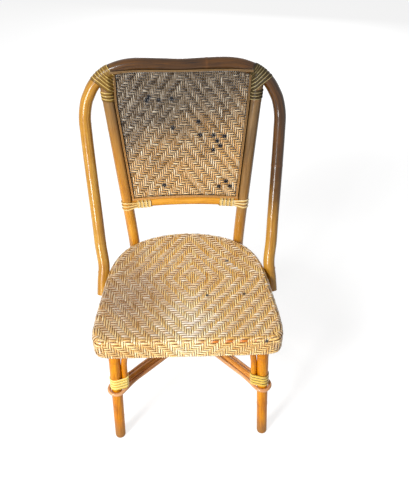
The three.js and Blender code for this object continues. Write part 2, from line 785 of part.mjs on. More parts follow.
const lashingPlane = (side) => (turn) => {
  const inward = lashingStart + railCanePitch * turn;
  const x = railEnd - inward;
  const v = railV(x);
  const corner = caneThickness / 2;
  const strapHalf = (strapCanePitch * (strapPasses - 1) + strapCaneWidth) / 2 + fitGap;
  const reach = bottomRailDiameter / 2 + strapOut + fitGap;
  const corners = [-1, 1].flatMap((face) =>
    [-1, 1].map((level) => ({
      centre: backPoint(side * x, v + level * strapHalf, face * reach),
      radius: corner,
    })),
  );
  return {
    axisA: backUp,
    axisB: backFront,
    circles: [{ centre: backPoint(side * x, v), radius: bottomRailDiameter / 2 }, ...corners],
  };
};
const railLashing = (name, side) =>
  windingSolid(name, windingKnots(lashingPlane(side), lashingTurns, rearAngle), railCaneWidth);

// Braces under the seat

const crossStack = crossDiameter / 2 + 2 * fitGap;
const braceEnds = (side) => ({
  from: frontLegAt(side, braceHeight),
  to: rearLegAt(-side, braceHeight - braceRearDrop),
});

// A cross brace runs from a front leg to the rear leg on the other side and bows up or down where they cross.
function crossLine(side, level, aside) {
  const { from, to } = braceEnds(side);
  const along = to.clone().sub(from).normalize();
  const across = vec(-along.y, along.x, 0);
  return (share) => {
    const bow = level * crossStack * Math.sin(Math.PI * share) ** 2;
    return from.clone().lerp(to, share).addScaledVector(across, aside).add(vec(0, 0, bow));
  };
}
const crossSteps = 12;
const crossSolid = (side, level) => {
  const at = crossLine(side, level, 0);
  const path = Array.from({ length: crossSteps + 1 }, (_, i) => at(i / crossSteps));
  return pole(path, crossDiameter / 2, thinPoleSides + 2);
};

// A thin cane that goes round a front leg, along one side of the cross brace, round the rear leg on the
// other side and back. Its two ends butt under the crossing's binding.
const loopAside = crossDiameter / 2 + fitGap + loopDiameter / 2;
const loopArcSteps = 8;
const loopSides = 6;
const loopButtShare = 0.001;
function crossLoopPath(side, level) {
  const { from, to } = braceEnds(side);
  const along = to.clone().sub(from).normalize();
  const across = vec(-along.y, along.x, 0);
  const legRadius = legRadiusAt(braceHeight, legDiameter, frontLegTop) + loopGap + loopDiameter / 2;
  const arc = (centre, start) =>
    Array.from({ length: loopArcSteps + 1 }, (_, k) => {
      const angle = start + ((fullTurn / 2) * k) / loopArcSteps;
      return centre
        .clone()
        .addScaledVector(across, legRadius * Math.cos(angle))
        .addScaledVector(along, legRadius * Math.sin(angle));
    });
  const run = (sign, shares) => shares.map((share) => crossLine(side, level, sign * loopAside)(share));
  const near = [0.1, 0.2, 0.34];
  const far = near.map((share) => 1 - share).reverse();
  const middle = 0.5;
  return [
    ...run(1, [middle + loopButtShare, ...far]), ...arc(to, 0),
    ...run(-1, [...far.toReversed(), middle, ...near.toReversed()]), ...arc(from, fullTurn / 2),
    ...run(1, [...near, middle - loopButtShare]),
  ];
}
const crossLoopSolid = (side, level) => pole(crossLoopPath(side, level), loopDiameter / 2, loopSides);

// Front arch: up beside one leg, across behind the front of the seat ring, and down beside the other leg
const archOffset = legDiameter / 2 + fitGap + archDiameter / 2;
const archFootHeight = braceHeight + crossDiameter / 2 + archFootGap;
const archCrownHeight = seatRingHeight - (seatRingDiameter + archDiameter) / 3;
const archCrownReach = seatRingInset + Math.sqrt(
  ((seatRingDiameter + archDiameter) / 2 + fitGap) ** 2 - (seatRingHeight - archCrownHeight) ** 2,
) + weaveThickness;
function archPath() {
  const beside = (z) => frontLegAt(1, z).sub(vec(archOffset, 0, 0));
  const high = beside(archSideHeight);
  const crown = vec(0, archCrownReach, archCrownHeight);
  const part = (x, y, z) => high.clone().add(crown.clone().sub(high).multiply(vec(x, y, z)));
  const right = [
    beside(archFootHeight), beside((archFootHeight + archSideHeight) / 2), high,
    part(0.06, 0.3, 0.42), part(0.22, 0.72, 0.8), part(0.42, 0.95, 0.97), crown,
  ];
  return [...right, ...right.slice(0, -1).reverse().map((p) => mirrored(p, sides.left))];
}
const archSteps = 34;
const archSolid = pole(alongCurve(archPath(), archSteps), archDiameter / 2, thinPoleSides);

// Leg bindings, and the binding where the cross braces meet

const aboveLoop = (loopDiameter + legCaneWidth) / 2 + legBindingGap;
const frontLegTurns = 4;
const rearLegTurns = 3;
const frontLegPlane = (side) => (turn) => {
  const z = braceHeight + aboveLoop + legCanePitch * turn;
  const centre = frontLegAt(side, z);
  const circles = [
    { centre, radius: legRadiusAt(z, legDiameter, frontLegTop) + fitGap / 2 },
    { centre: centre.clone().sub(vec(side * archOffset, 0, 0)), radius: archDiameter / 2 + fitGap / 2 },
  ];
  return { axisA: vec(side, 0, 0), axisB: vec(0, -1, 0), circles };
};
const rearLegPlane = (side) => (turn) => {
  const z = braceHeight - braceRearDrop + aboveLoop + legCanePitch * turn;
  const along = rearLegAt(side, z + legCanePitch).sub(rearLegAt(side, z - legCanePitch)).normalize();
  const radius = legRadiusAt(z, postDiameter, seatBottom) + fitGap;
  const circles = [{ centre: rearLegAt(side, z), radius, along }];
  return { axisA: vec(side, 0, 0), axisB: vec(0, -1, 0), circles };
};
const crossingTurns = 3;
const crossingShare = (() => {
  const { from, to } = braceEnds(1);
  return from.x / (from.x - to.x);
})();
const crossingPlane = (turn) => {
  const middle = crossLine(1, 0, 0)(crossingShare);
  const offset = crossingCanePitch * (turn - crossingTurns / 2);
  const centre = vec(0, middle.y + offset, middle.z);
  const spread = (loopAside + loopDiameter / 2) * Math.SQRT2 + Math.abs(offset);
  const radius = crossDiameter / 2 + fitGap / 2;
  const circles = [-1, 1].flatMap((across) =>
    [-1, 1].map((level) => ({
      centre: centre.clone().add(vec(across * (spread - radius / 2), 0, level * crossStack)),
      radius,
    })),
  );
  return { axisA: vec(1, 0, 0), axisB: vec(0, 0, 1), circles };
};

// Nails: a domed head and a plain shank, driven from a point along a direction
function nailSolid(head, direction, length, spread) {
  const other = Math.abs(direction.z) < Math.SQRT1_2 ? up : vec(1, 0, 0);
  const axisA = vec(0, 0, 0).crossVectors(direction, other).normalize();
  const axisB = vec(0, 0, 0).crossVectors(direction, axisA);
  const tip = nailDiameter;
  const profile = [
    [-nailHeadHeight - spread, nailHeadDiameter / 4], [-nailHeadHeight / 2, nailHeadDiameter * 0.42],
    [0, nailHeadDiameter / 2 + spread], [0, nailDiameter / 2 + spread],
    [length - tip, nailDiameter / 2 + spread], [length + spread, nailDiameter / 8 + spread],
  ];
  const rings = profile.map(([distance, radius]) =>
    ringOf(head.clone().addScaledVector(direction, distance), axisA, axisB, radius, thinPoleSides),
  );
  return skin(rings);
}
const outwardAt = (t) => insideOutline(t, -1, 0).sub(insideOutline(t, 0, 0));
const nailHeight = seatRingHeight;
const nails = Object.entries(sides).flatMap(([word, side]) => {
  const hoopDirection = mirrored(outwardAt(hoopShareAt(nailHeight)), side).multiplyScalar(-1);
  const postDirectionIn = mirrored(outwardAt(postShare), side).multiplyScalar(-1);
  const hoopAxis = mirrored(hoopEndAt(nailHeight), side);
  const postAxis = rearLegAt(side, nailHeight);
  const legAxis = frontLegAt(side, nailHeight);
  const legDirection = vec(side, 0, 0);
  const nail = (ending, axis, direction, diameter, intoRing) => ({
    name: word + ending,
    head: axis.addScaledVector(direction, -(diameter / 2 + fitGap)),
    direction,
    length: diameter + intoRing,
  });
  return [
    nail("_hoop_nail", hoopAxis, hoopDirection, hoopDiameter, seatRingDiameter),
    nail("_post_nail", postAxis, postDirectionIn, postDiameter, seatRingDiameter),
    nail("_leg_nail", legAxis, legDirection, legDiameter, seatRingDiameter / 2),
  ];
});
const bores = nails.map(({ head, direction, length }) => nailSolid(head, direction, length, boreGap));

// Wider places round the posts and the rail, where the panel and its beads make room for the bindings

const bindingRoom = bindingGap + caneThickness + fitGap;
const roomAtPost = (side) =>
  pole(
    [postBindingV - postCaneWidth, backHeight].map((v) => backPoint(side * postX(v), v)),
    postDiameter / 2 + bindingRoom + 3 * fitGap, 2 * poleSides,
  );
const roomAtRail = (side) => {
  const xs = [railEnd, railEnd - strapLength - caneThickness];
  const path = xs.map((x) => backPoint(side * x, railV(x)));
  return pole(path, bottomRailDiameter / 2 + bindingRoom + 3 * fitGap, 2 * poleSides);
};
const rooms = Object.values(sides).flatMap((side) => [roomAtPost(side), roomAtRail(side)]);

// Put the chair together

addPiece("back_hoop", cutFrom(hoopSolid(0), ...bores), rattan);
for (const [word, side] of Object.entries(sides)) {
  addPiece(word + "_back_post", cutFrom(postSolid(side, 0), hoopSolid(fitGap), ...bores), rattan);
  addPiece(word + "_front_leg", cutFrom(frontLegSolid(side, 0), ...bores), rattan);
}
const posts = Object.values(sides).map((side) => postSolid(side, fitGap));
addPiece("bottom_rail", cutFrom(railSolid(0), ...posts), rattan);
const seatRing = outlineRing(seatRingInset, seatRingHeight, seatRingDiameter, poleSides);
const apronRing = outlineRing(apronRingInset, apronRingHeight, apronRingDiameter, thinPoleSides);
addPiece("seat_ring", cutFrom(seatRing, ...bores), darkRattan);
addPiece("apron_ring", apronRing, darkRattan);
addPiece("seat_weave", cutFrom(seatShell(), ...seatGrooves(), ...bores), wovenCane);
const backPoles = [hoopSolid(fitGap), railSolid(fitGap), ...posts];
addPiece("back_weave", cutFrom(panelSolid(), ...panelGrooves(), ...backPoles, ...rooms), wovenCane);

for (const [word, face] of [["front", 1], ["rear", -1]]) {
  const level = { top: topBeadLine, bottom: bottomBeadLine };
  for (const [edge, line] of Object.entries(level)) {
    addPiece(word + "_" + edge + "_bead", cutFrom(beadSolid(line, face, 0), ...backPoles, ...rooms), darkRattan);
  }
  const levelRooms = Object.values(level).map((line) => beadSolid(line, face, fitGap));
  for (const [sideWord, side] of Object.entries(sides)) {
    const whole = cutFrom(beadSolid(sideBeadLine(side), face, 0), ...levelRooms, ...backPoles, ...rooms);
    const parts = whole.decompose().sort((a, b) => b.volume() - a.volume());
    addPiece(word + "_" + sideWord + "_bead", parts[0], darkRattan);
  }
}

const frontLegs = Object.values(sides).map((side) => frontLegSolid(side, fitGap));
addPiece("front_arch", archSolid, rattan);
const crossLevels = { left: -1, right: 1 };
for (const [word, side] of Object.entries(sides)) {
  const level = crossLevels[word];
  addPiece(word + "_cross_brace", cutFrom(crossSolid(side, level), ...frontLegs, ...posts), rattan);
  addPiece(word + "_brace_loop", crossLoopSolid(side, level), rattan);
}

for (const [word, side] of Object.entries(sides)) {
  const names = {
    corner: word + "_corner_binding",
    post: word + "_post_binding",
    strap: word + "_rail_strap",
    lashing: word + "_rail_lashing",
    front: word + "_front_leg_binding",
    rear: word + "_rear_leg_binding",
  };
  addPiece(names.corner, cornerBinding(names.corner, side), cane);
  addPiece(names.post, postBinding(names.post, side), cane);
  addPiece(names.strap, strap(names.strap, side), cane);
  addPiece(names.lashing, railLashing(names.lashing, side), cane);
  const frontKnots = windingKnots(frontLegPlane(side), frontLegTurns, rearAngle);
  addPiece(names.front, windingSolid(names.front, frontKnots, legCaneWidth), cane);
  const rearKnots = windingKnots(rearLegPlane(side), rearLegTurns, rearAngle);
  addPiece(names.rear, windingSolid(names.rear, rearKnots, legCaneWidth), cane);
}
const crossingKnots = windingKnots(crossingPlane, crossingTurns, rearAngle);
addPiece("crossing_binding", windingSolid("crossing_binding", crossingKnots, crossingCaneWidth), cane);
for (const { name, head, direction, length } of nails) {
  addPiece(name, nailSolid(head, direction, length, 0), steel);
}

const bounds = new THREE.Box3().setFromObject(chair);
const centre = bounds.getCenter(vec(0, 0, 0));
chair.position.set(-centre.x, -centre.y, -bounds.min.z);
console.log("size " + bounds.getSize(vec(0, 0, 0)).toArray().map((n) => n.toFixed(1)).join(" x "));
console.log("moved by " + chair.position.toArray().map((n) => n.toFixed(2)).join(", "));

export default chair;
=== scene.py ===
import math

import bpy
import numpy as np
from mathutils import Matrix, Vector


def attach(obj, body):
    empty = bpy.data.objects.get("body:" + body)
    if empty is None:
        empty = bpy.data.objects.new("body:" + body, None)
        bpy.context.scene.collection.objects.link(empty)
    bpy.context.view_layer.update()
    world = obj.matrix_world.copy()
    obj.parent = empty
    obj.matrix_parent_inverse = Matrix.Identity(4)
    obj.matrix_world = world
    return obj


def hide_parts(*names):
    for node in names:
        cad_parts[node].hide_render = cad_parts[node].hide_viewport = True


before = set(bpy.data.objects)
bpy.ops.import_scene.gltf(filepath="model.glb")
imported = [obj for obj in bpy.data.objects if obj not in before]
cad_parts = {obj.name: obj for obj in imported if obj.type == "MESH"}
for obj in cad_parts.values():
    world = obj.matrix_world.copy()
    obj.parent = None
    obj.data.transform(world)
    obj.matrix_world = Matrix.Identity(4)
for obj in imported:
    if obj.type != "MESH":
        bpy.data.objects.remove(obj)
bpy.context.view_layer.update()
mm = 0.001
xAxis, yAxis, zAxis = np.eye(3)
bothSides = (("left", -1), ("right", 1))


# Camera, where the photograph was taken from

camera = {
    "place": (12.07 * mm, -1089.23 * mm, 1525 * mm),
    "turn": 2.16,                   # degrees to the right
    "tilt": -45.85,                 # degrees up
    "roll": 0.16,
    "sensor": 36.0,
    "lens": 54.78,
    "shift": (-0.0097, 0.1051),
}


def placeCamera():
    # three axes from turn, tilt and roll: it looks along its own -z
    turn, tilt, roll = (math.radians(camera[key]) for key in ("turn", "tilt", "roll"))
    ahead = Vector((math.sin(turn) * math.cos(tilt), math.cos(turn) * math.cos(tilt), math.sin(tilt)))
    level = Vector((math.cos(turn), -math.sin(turn), 0))
    over = level.cross(ahead)
    right = level * math.cos(roll) + over * math.sin(roll)
    upward = over * math.cos(roll) - level * math.sin(roll)
    lens = bpy.data.cameras.new("camera")
    lens.sensor_fit = "HORIZONTAL"
    lens.sensor_width = camera["sensor"]
    lens.lens = camera["lens"]
    lens.shift_x, lens.shift_y = camera["shift"]
    eye = bpy.data.objects.new("camera", lens)
    turned = Matrix((right, upward, -ahead)).transposed().to_4x4()
    eye.matrix_world = Matrix.Translation(camera["place"]) @ turned
    bpy.context.scene.collection.objects.link(eye)
    bpy.context.scene.camera = eye


placeCamera()


# Small helpers for materials


def hexColour(text):
    # sRGB hex to the linear colour that shaders use
    share = np.array([int(text[i:i + 2], 16) for i in (1, 3, 5)]) / 255
    linear = np.where(share <= 0.04045, share / 12.92, ((share + 0.055) / 1.055) ** 2.4)
    return (*linear.tolist(), 1.0)


def addNode(tree, kind, inputs=(), out=0, stops=(), **settings):
    # One node with its settings, the values or links of its inputs, in their order or by name, and the stops
    # of its ramp. It gives the wanted output.
    node = tree.nodes.new("ShaderNode" + kind)
    for name, value in settings.items():
        setattr(node, name, value)
    for key, value in inputs.items() if isinstance(inputs, dict) else enumerate(inputs):
        if isinstance(value, bpy.types.NodeSocket):
            tree.links.new(value, node.inputs[key])
        else:
            node.inputs[key].default_value = hexColour(value) if isinstance(value, str) else value
    if stops:
        ramp = node.color_ramp
        while len(ramp.elements) < len(stops):
            ramp.elements.new(0.5)
        for element, (place, colour) in zip(ramp.elements, stops):
            element.position = place
            element.color = hexColour(colour)
    return node.outputs[out] if len(node.outputs) else None


def newMaterial(name):
    material = bpy.data.materials.new(name)
    material.use_nodes = True
    material.node_tree.nodes.clear()
    return material, material.node_tree


def stretchedNoise(tree, place, stretch, detail, roughness):
    # soft noise; stretch says how many steps it takes in one unit of each of the place's axes
    stretched = addNode(tree, "VectorMath", [place, stretch], operation="MULTIPLY")
    inputs = {"Vector": stretched, "Scale": 1.0, "Detail": detail, "Roughness": roughness}
    return addNode(tree, "TexNoise", inputs)


def finishVarnished(tree, look, colour, layers, shine, bump):
    # the layers that wear and dirt lay over the first colour, then the surface with its clear coat
    for share, over in layers:
        colour = addNode(tree, "Mix", {0: share, 6: colour, 7: over}, 2, data_type="RGBA")
    surface = addNode(tree, "BsdfPrincipled", {
        "Base Color": colour, "Roughness": shine, "Normal": bump, "IOR": 1.5,
        "Specular IOR Level": look["specular"],
        "Coat Weight": look["coat"], "Coat Roughness": look["coatRoughness"],
    })
    addNode(tree, "OutputMaterial", [surface])


def evenStops(hues, first, last):
    return [(first + (last - first) * k / (len(hues) - 1), hue) for k, hue in enumerate(hues)]


# Small helpers for shapes

pole = {
    "swell": 0.45 * mm,             # how far a joint stands out
    "swellReach": 2.6 * mm,
    "ringReach": 2.2 * mm,          # of the brown ring at a joint
    "levelFrom": 10 * mm,           # a standing pole's circles turn level between these heights
    "levelTo": 120 * mm,
}


def unit(a):
    return a / np.maximum(np.linalg.norm(a, axis=-1, keepdims=True), 1e-12)


def dot(a, b):
    return np.sum(a * b, axis=-1, keepdims=True)


def travelled(path):
    # distance along the path at each of its points
    return np.concatenate([[0], np.cumsum(np.linalg.norm(np.diff(path, axis=0), axis=1))])


def mirrored(right):
    # a line on the right, from its outer end to the middle, with its mirror image
    return np.vstack([right, right[-2::-1] * [-1, 1, 1]])


def smoothLine(points, count, closed=False):
    # a smooth curve through the points, paced by the square root of each gap so that it never loops,
    # then stepped evenly along its length
    points = np.asarray(points, float)
    if closed:
        p = np.vstack([points[-1:], points, points[:2]])
    else:
        p = np.vstack([2 * points[:1] - points[1:2], points, 2 * points[-1:] - points[-2:-1]])
    pace = np.sqrt(np.linalg.norm(np.diff(p, axis=0), axis=1))[:, None]
    before, own, after = pace[:-2], pace[1:-1], pace[2:]
    a, b, c, d = p[:-3], p[1:-2], p[2:-1], p[3:]
    leave = ((b - a) / before - (c - a) / (before + own) + (c - b) / own) * own
    arrive = ((c - b) / own - (d - b) / (own + after) + (d - c) / after) * own
    t = np.linspace(0, 1, 40, endpoint=False)[None, :, None]
    weights = (2 * t**3 - 3 * t**2 + 1, t**3 - 2 * t**2 + t, 3 * t**2 - 2 * t**3, t**3 - t**2)
    fine = sum(weight * part[:, None] for weight, part in zip(weights, (b, leave, c, arrive)))
    fine = np.vstack([fine.reshape(-1, points.shape[1]), points[:1] if closed else points[-1:]])
    along = travelled(fine)
    steps = np.linspace(0, along[-1], count, endpoint=not closed)
    return np.stack([np.interp(steps, along, values) for values in fine.T], -1)


def ringShape(rings, grain, closed=False):
    # Rings of points as one closed skin: four-sided faces between each ring and the next. The last ring joins
    # the first where the piece is closed, and open ends are shut by a fan of triangles to a middle point.
    rows, columns = rings.shape[:2]
    points = rings.reshape(-1, 3)
    grain = grain.reshape(-1, 3)
    row = columns * np.arange(rows if closed else rows - 1)[:, None]
    nextRow = (row + columns) % len(points)
    column = np.arange(columns)
    nextColumn = (column + 1) % columns
    corners = [row + column, row + nextColumn, nextRow + nextColumn, nextRow + column]
    quads = np.stack(corners, -1).reshape(-1, 4)
    tris = np.zeros((0, 3), int)
    if not closed:
        last = (rows - 1) * columns
        start, end = len(points), len(points) + 1
        tris = np.vstack([
            np.stack(np.broadcast_arrays(start, nextColumn, column), -1),
            np.stack(np.broadcast_arrays(end, last + column, last + nextColumn), -1),
        ])
        points = np.vstack([points, rings[0].mean(0), rings[-1].mean(0)])
        grain = np.vstack([grain, grain[:columns].mean(0), grain[-columns:].mean(0)])
    return {"points": points, "quads": quads, "tris": tris, "grain": grain}


def padEnds(values, shape):
    # nought for the middle points that shut the ends
    return np.concatenate([values, np.zeros(len(shape["points"]) - len(values))])


def directionAlong(path, closed=False):
    if closed:
        return unit(np.roll(path, -1, 0) - np.roll(path, 1, 0))
    return unit(np.gradient(path, axis=0))


def bells(length, joints, reach):
    # a bell curve along the pole for each of its joints
    return np.exp(-(((length[:, None] - np.array(joints, float)) / reach) ** 2))


def poleShape(path, radius, guide, sides, closed=False, seed=0.0, joints=(), standing=False):
    # A round pole: at each step of the path a circle square to it, its start turned towards a fixed guide.
    # Each joint swells the circle by a bell curve; a standing pole's circles level out at the floor.
    along = directionAlong(path, closed)
    if standing:
        level = np.clip((path[:, 2:] - pole["levelFrom"]) / (pole["levelTo"] - pole["levelFrom"]), 0, 1)
        along = unit(along * level + zAxis * (1 - level))
    length = travelled(path)
    spoke = (radius + pole["swell"] * bells(length, joints, pole["swellReach"]).sum(1))[:, None, None]
    axisA = unit(guide - dot(guide, along) * along)
    axisB = np.cross(along, axisA)
    angle = 2 * np.pi * np.arange(sides)[:, None] / sides
    a, b = spoke * np.cos(angle), spoke * np.sin(angle)
    rings = path[:, None] + a * axisA[:, None] + b * axisB[:, None]
    grain = np.concatenate(np.broadcast_arrays(length[:, None, None] + seed, a, b), -1)
    shape = ringShape(rings, grain, closed)
    ring = bells(length, joints, pole["ringReach"]).max(1, initial=0)
    shape["mark"] = padEnds(np.repeat(ring, sides), shape)
    return shape


def sameSides(side, middle=()):
    # a strip's section in shares of its width and thickness, from one side, the middle, and the side mirrored
    return [*side, *middle, *((-across, height) for across, height in side[::-1])]


canePeel = sameSides([(0.5, -0.5), (0.5, 0.1), (0.4, 0.38), (0.16, 0.5)])
twoRidges = sameSides([(0.5, -0.5), (0.49, 0.0), (0.41, 0.36), (0.27, 0.5), (0.12, 0.36)], [(0.0, 0.02)])
strandOval = [(math.cos(k * math.pi / 3) / 2, math.sin(k * math.pi / 3) / math.sqrt(3)) for k in range(6)]


def stripShape(path, outs, width, thickness, section=canePeel, closed=False, seed=0.0):
    # A strip carried along a path: its section stands square to the path, its face turned the way of outs.
    along = directionAlong(path, closed)
    face = unit(outs - dot(outs, along) * along)
    side = np.cross(face, along)
    across, height = np.array(section).T
    width = np.broadcast_to(width, len(path))[:, None, None]
    a, b = across[:, None] * width, height[:, None] * thickness
    rings = path[:, None] + a * side[:, None] + b * face[:, None]
    grain = np.stack(np.broadcast_arrays(travelled(path)[:, None] + seed, 2 * across, seed), -1)
    return ringShape(rings, grain, closed)


def addPiece(name, shapes, material, node, marks=None):
    # joins the shapes into one mesh, rides it on the chair and puts it in place of its solid
    counts = [len(shape["points"]) for shape in shapes]
    starts = np.cumsum([0] + counts[:-1])
    points, grain = (np.concatenate([shape[key] for shape in shapes]) for key in ("points", "grain"))
    quads, tris = (
        np.concatenate([shape[key] + start for shape, start in zip(shapes, starts)])
        for key in ("quads", "tris")
    )
    mesh = bpy.data.meshes.new(name)
    mesh.vertices.add(len(points))
    mesh.vertices.foreach_set("co", points.astype(np.float32).ravel())
    corners = np.concatenate([quads.ravel(), tris.ravel()])
    mesh.loops.add(len(corners))
    mesh.loops.foreach_set("vertex_index", corners.astype(np.int32))
    sizes = np.repeat([4, 3], [len(quads), len(tris)])
    mesh.polygons.add(len(sizes))
    mesh.polygons.foreach_set("loop_start", (np.cumsum(sizes) - sizes).astype(np.int32))
    mesh.update(calc_edges=True)
    mesh.validate()
    mesh.polygons.foreach_set("use_smooth", np.ones(len(sizes), bool))
    mesh.set_sharp_from_angle(angle=math.radians(52))
    grainPlace = mesh.attributes.new("grain", "FLOAT_VECTOR", "POINT")
    grainPlace.data.foreach_set("vector", grain.astype(np.float32).ravel())
    spots = marks(points) if marks else {}
    for key in ("mark", "facing"):
        spots[key] = np.concatenate([shape.get(key, np.zeros(count)) for shape, count in zip(shapes, counts)])
    for key, values in spots.items():
        mesh.attributes.new(key, "FLOAT", "POINT").data.foreach_set("value", values.astype(np.float32))
    mesh.materials.append(material)
    piece = bpy.data.objects.new(name, mesh)
    bpy.context.scene.collection.objects.link(piece)
    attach(piece, "root")
    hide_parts(node)
    print(f"{name}: {2 * len(quads) + len(tris)} triangles")


# Materials

poleLook = {
    "pale": "#c69c46",
    "body": "#ae7b24",
    "deep": "#8a5611",
    # joint colour: a pole's joint rings, and painted shade on the beads
    "joint": "#8a5222",
    "joints": 0.15,
    # aged colours: age with painted shade, darkest towards the top right
    "aged": "#583406",
    "agedDeep": "#241405",
    "ageSlope": (1.6, 0.0, 2.3),    # towards the top right, in shares per metre
    "ageFrom": 1.74,
    "ageFull": 2.1,
    # grime colour: dirt with painted shade in the seams beside the panel
    "grime": "#160c05",
    "dust": "#86663e",
    "dustTop": 120 * mm,            # it thins out from the lower height to this one
    "dustFull": 34 * mm,
    "dustMottle": 60 * mm,
    "fibre": 2.4 * mm,              # real fibres are a third of this; drawn coarser so that they show
    "fibreStretch": 28,             # their length for this width
    "mottle": 70 * mm,
    "bump": 0.18 * mm,
    "roughness": 0.36,
    "specular": 0.03,
    "coat": 0.75,
    "coatRoughness": 0.18,
}


def varnishedRattan(name, **changes):
    # Rattan pole, skin left on, steamed, bent and varnished: fine fibres run along it, a brown ring marks
    # each joint, age and painted shade darken the top right, dirt and painted shade fill the seams beside
    # the panel, and clear varnish gives it a long soft highlight.
    look = {**poleLook, **changes}
    fine, wide, rough = 1 / look["fibre"], 1 / look["mottle"], look["roughness"]
    material, tree = newMaterial(name)
    grain = addNode(tree, "Attribute", out="Vector", attribute_name="grain")
    place = addNode(tree, "TexCoord", out="Object")
    fibre = stretchedNoise(tree, grain, (fine / look["fibreStretch"], fine, fine), 4.0, 0.6)
    patch = stretchedNoise(tree, grain, (wide, 2.6 * wide, 2.6 * wide), 3.0, 0.55)
    tone = addNode(tree, "Math", [patch, 0.6, fibre], operation="MULTIPLY_ADD")
    tone = addNode(tree, "MapRange", [tone, 0.48, 1.12])
    freshStops = [(0.08, look["deep"]), (0.5, look["body"]), (0.95, look["pale"])]
    fresh = addNode(tree, "ValToRGB", [tone], stops=freshStops)
    worn = addNode(tree, "ValToRGB", [tone], stops=[(0.1, look["agedDeep"]), (0.85, look["aged"])])
    # age with painted shade: darker towards the top right
    age = addNode(tree, "VectorMath", [place, look["ageSlope"]], "Value", operation="DOT_PRODUCT")
    age = addNode(tree, "Math", [patch, 0.5, age], operation="MULTIPLY_ADD")
    age = addNode(tree, "MapRange", [age, look["ageFrom"], look["ageFull"]], interpolation_type="SMOOTHSTEP")
    # the mark gives a pole's joint rings, and on the beads painted shade along the hollow and edges
    ring, seam = (addNode(tree, "Attribute", out="Fac", attribute_name=key) for key in ("mark", "grime"))
    ring = addNode(tree, "Math", [ring, look["joints"]], operation="MULTIPLY")
    high = addNode(tree, "SeparateXYZ", [place], "Z")
    dust = addNode(tree, "Math", [patch, look["dustMottle"], high], operation="MULTIPLY_ADD")
    dust = addNode(tree, "MapRange", [dust, look["dustTop"], look["dustFull"], 0.0, 0.7])
    # the grime layer is dirt and painted shade beside the beads
    layers = [(age, worn), (ring, look["joint"]), (seam, look["grime"]), (dust, look["dust"])]
    shine = addNode(tree, "MapRange", [patch, 0.3, 0.7, rough - 0.08, rough + 0.1])
    shine = addNode(tree, "Math", [dust, 0.35, shine], operation="MULTIPLY_ADD")
    bump = addNode(tree, "Bump", {"Strength": 0.5, "Distance": look["bump"], "Height": fibre})
    finishVarnished(tree, look, fresh, layers, shine, bump)
    return material


weaveLook = {
    # from the darkest strands to the palest
    "hues": ["#be7c2a", "#e2ae4e", "#ecbe76", "#f6da8c", "#fff4d0"],
    # agedHues: darker colours for age with painted shade
    "agedHues": ["#6b5640", "#8f7a62", "#a99784", "#c9bcab"],
    # gap: dirt with painted shade at a strand's edges and where it dips
    "gap": "#8a561a",
    "dye": "#cc7008",
    # stain: painted shade of the dark seen through broken strands
    "stain": "#101218",
    "driftLength": 26 * mm,         # how fast the tone drifts along a strand, and its streaks
    "streakLength": 30 * mm,
    "bump": 0.2 * mm,
    "relief": 0.8 * mm,             # added to each float's bend in the shading, so that ribs show from afar
    # dirt with painted shade darkens a strand from its middle towards its sides
    "edge": (0.3, 0.9),             # dirt starts and is full here, from a strand's middle (0) to its side (1)
    "roughness": 0.3,
    "specular": 0.5,
    "coat": 0.3,
    "coatRoughness": 0.15,
}


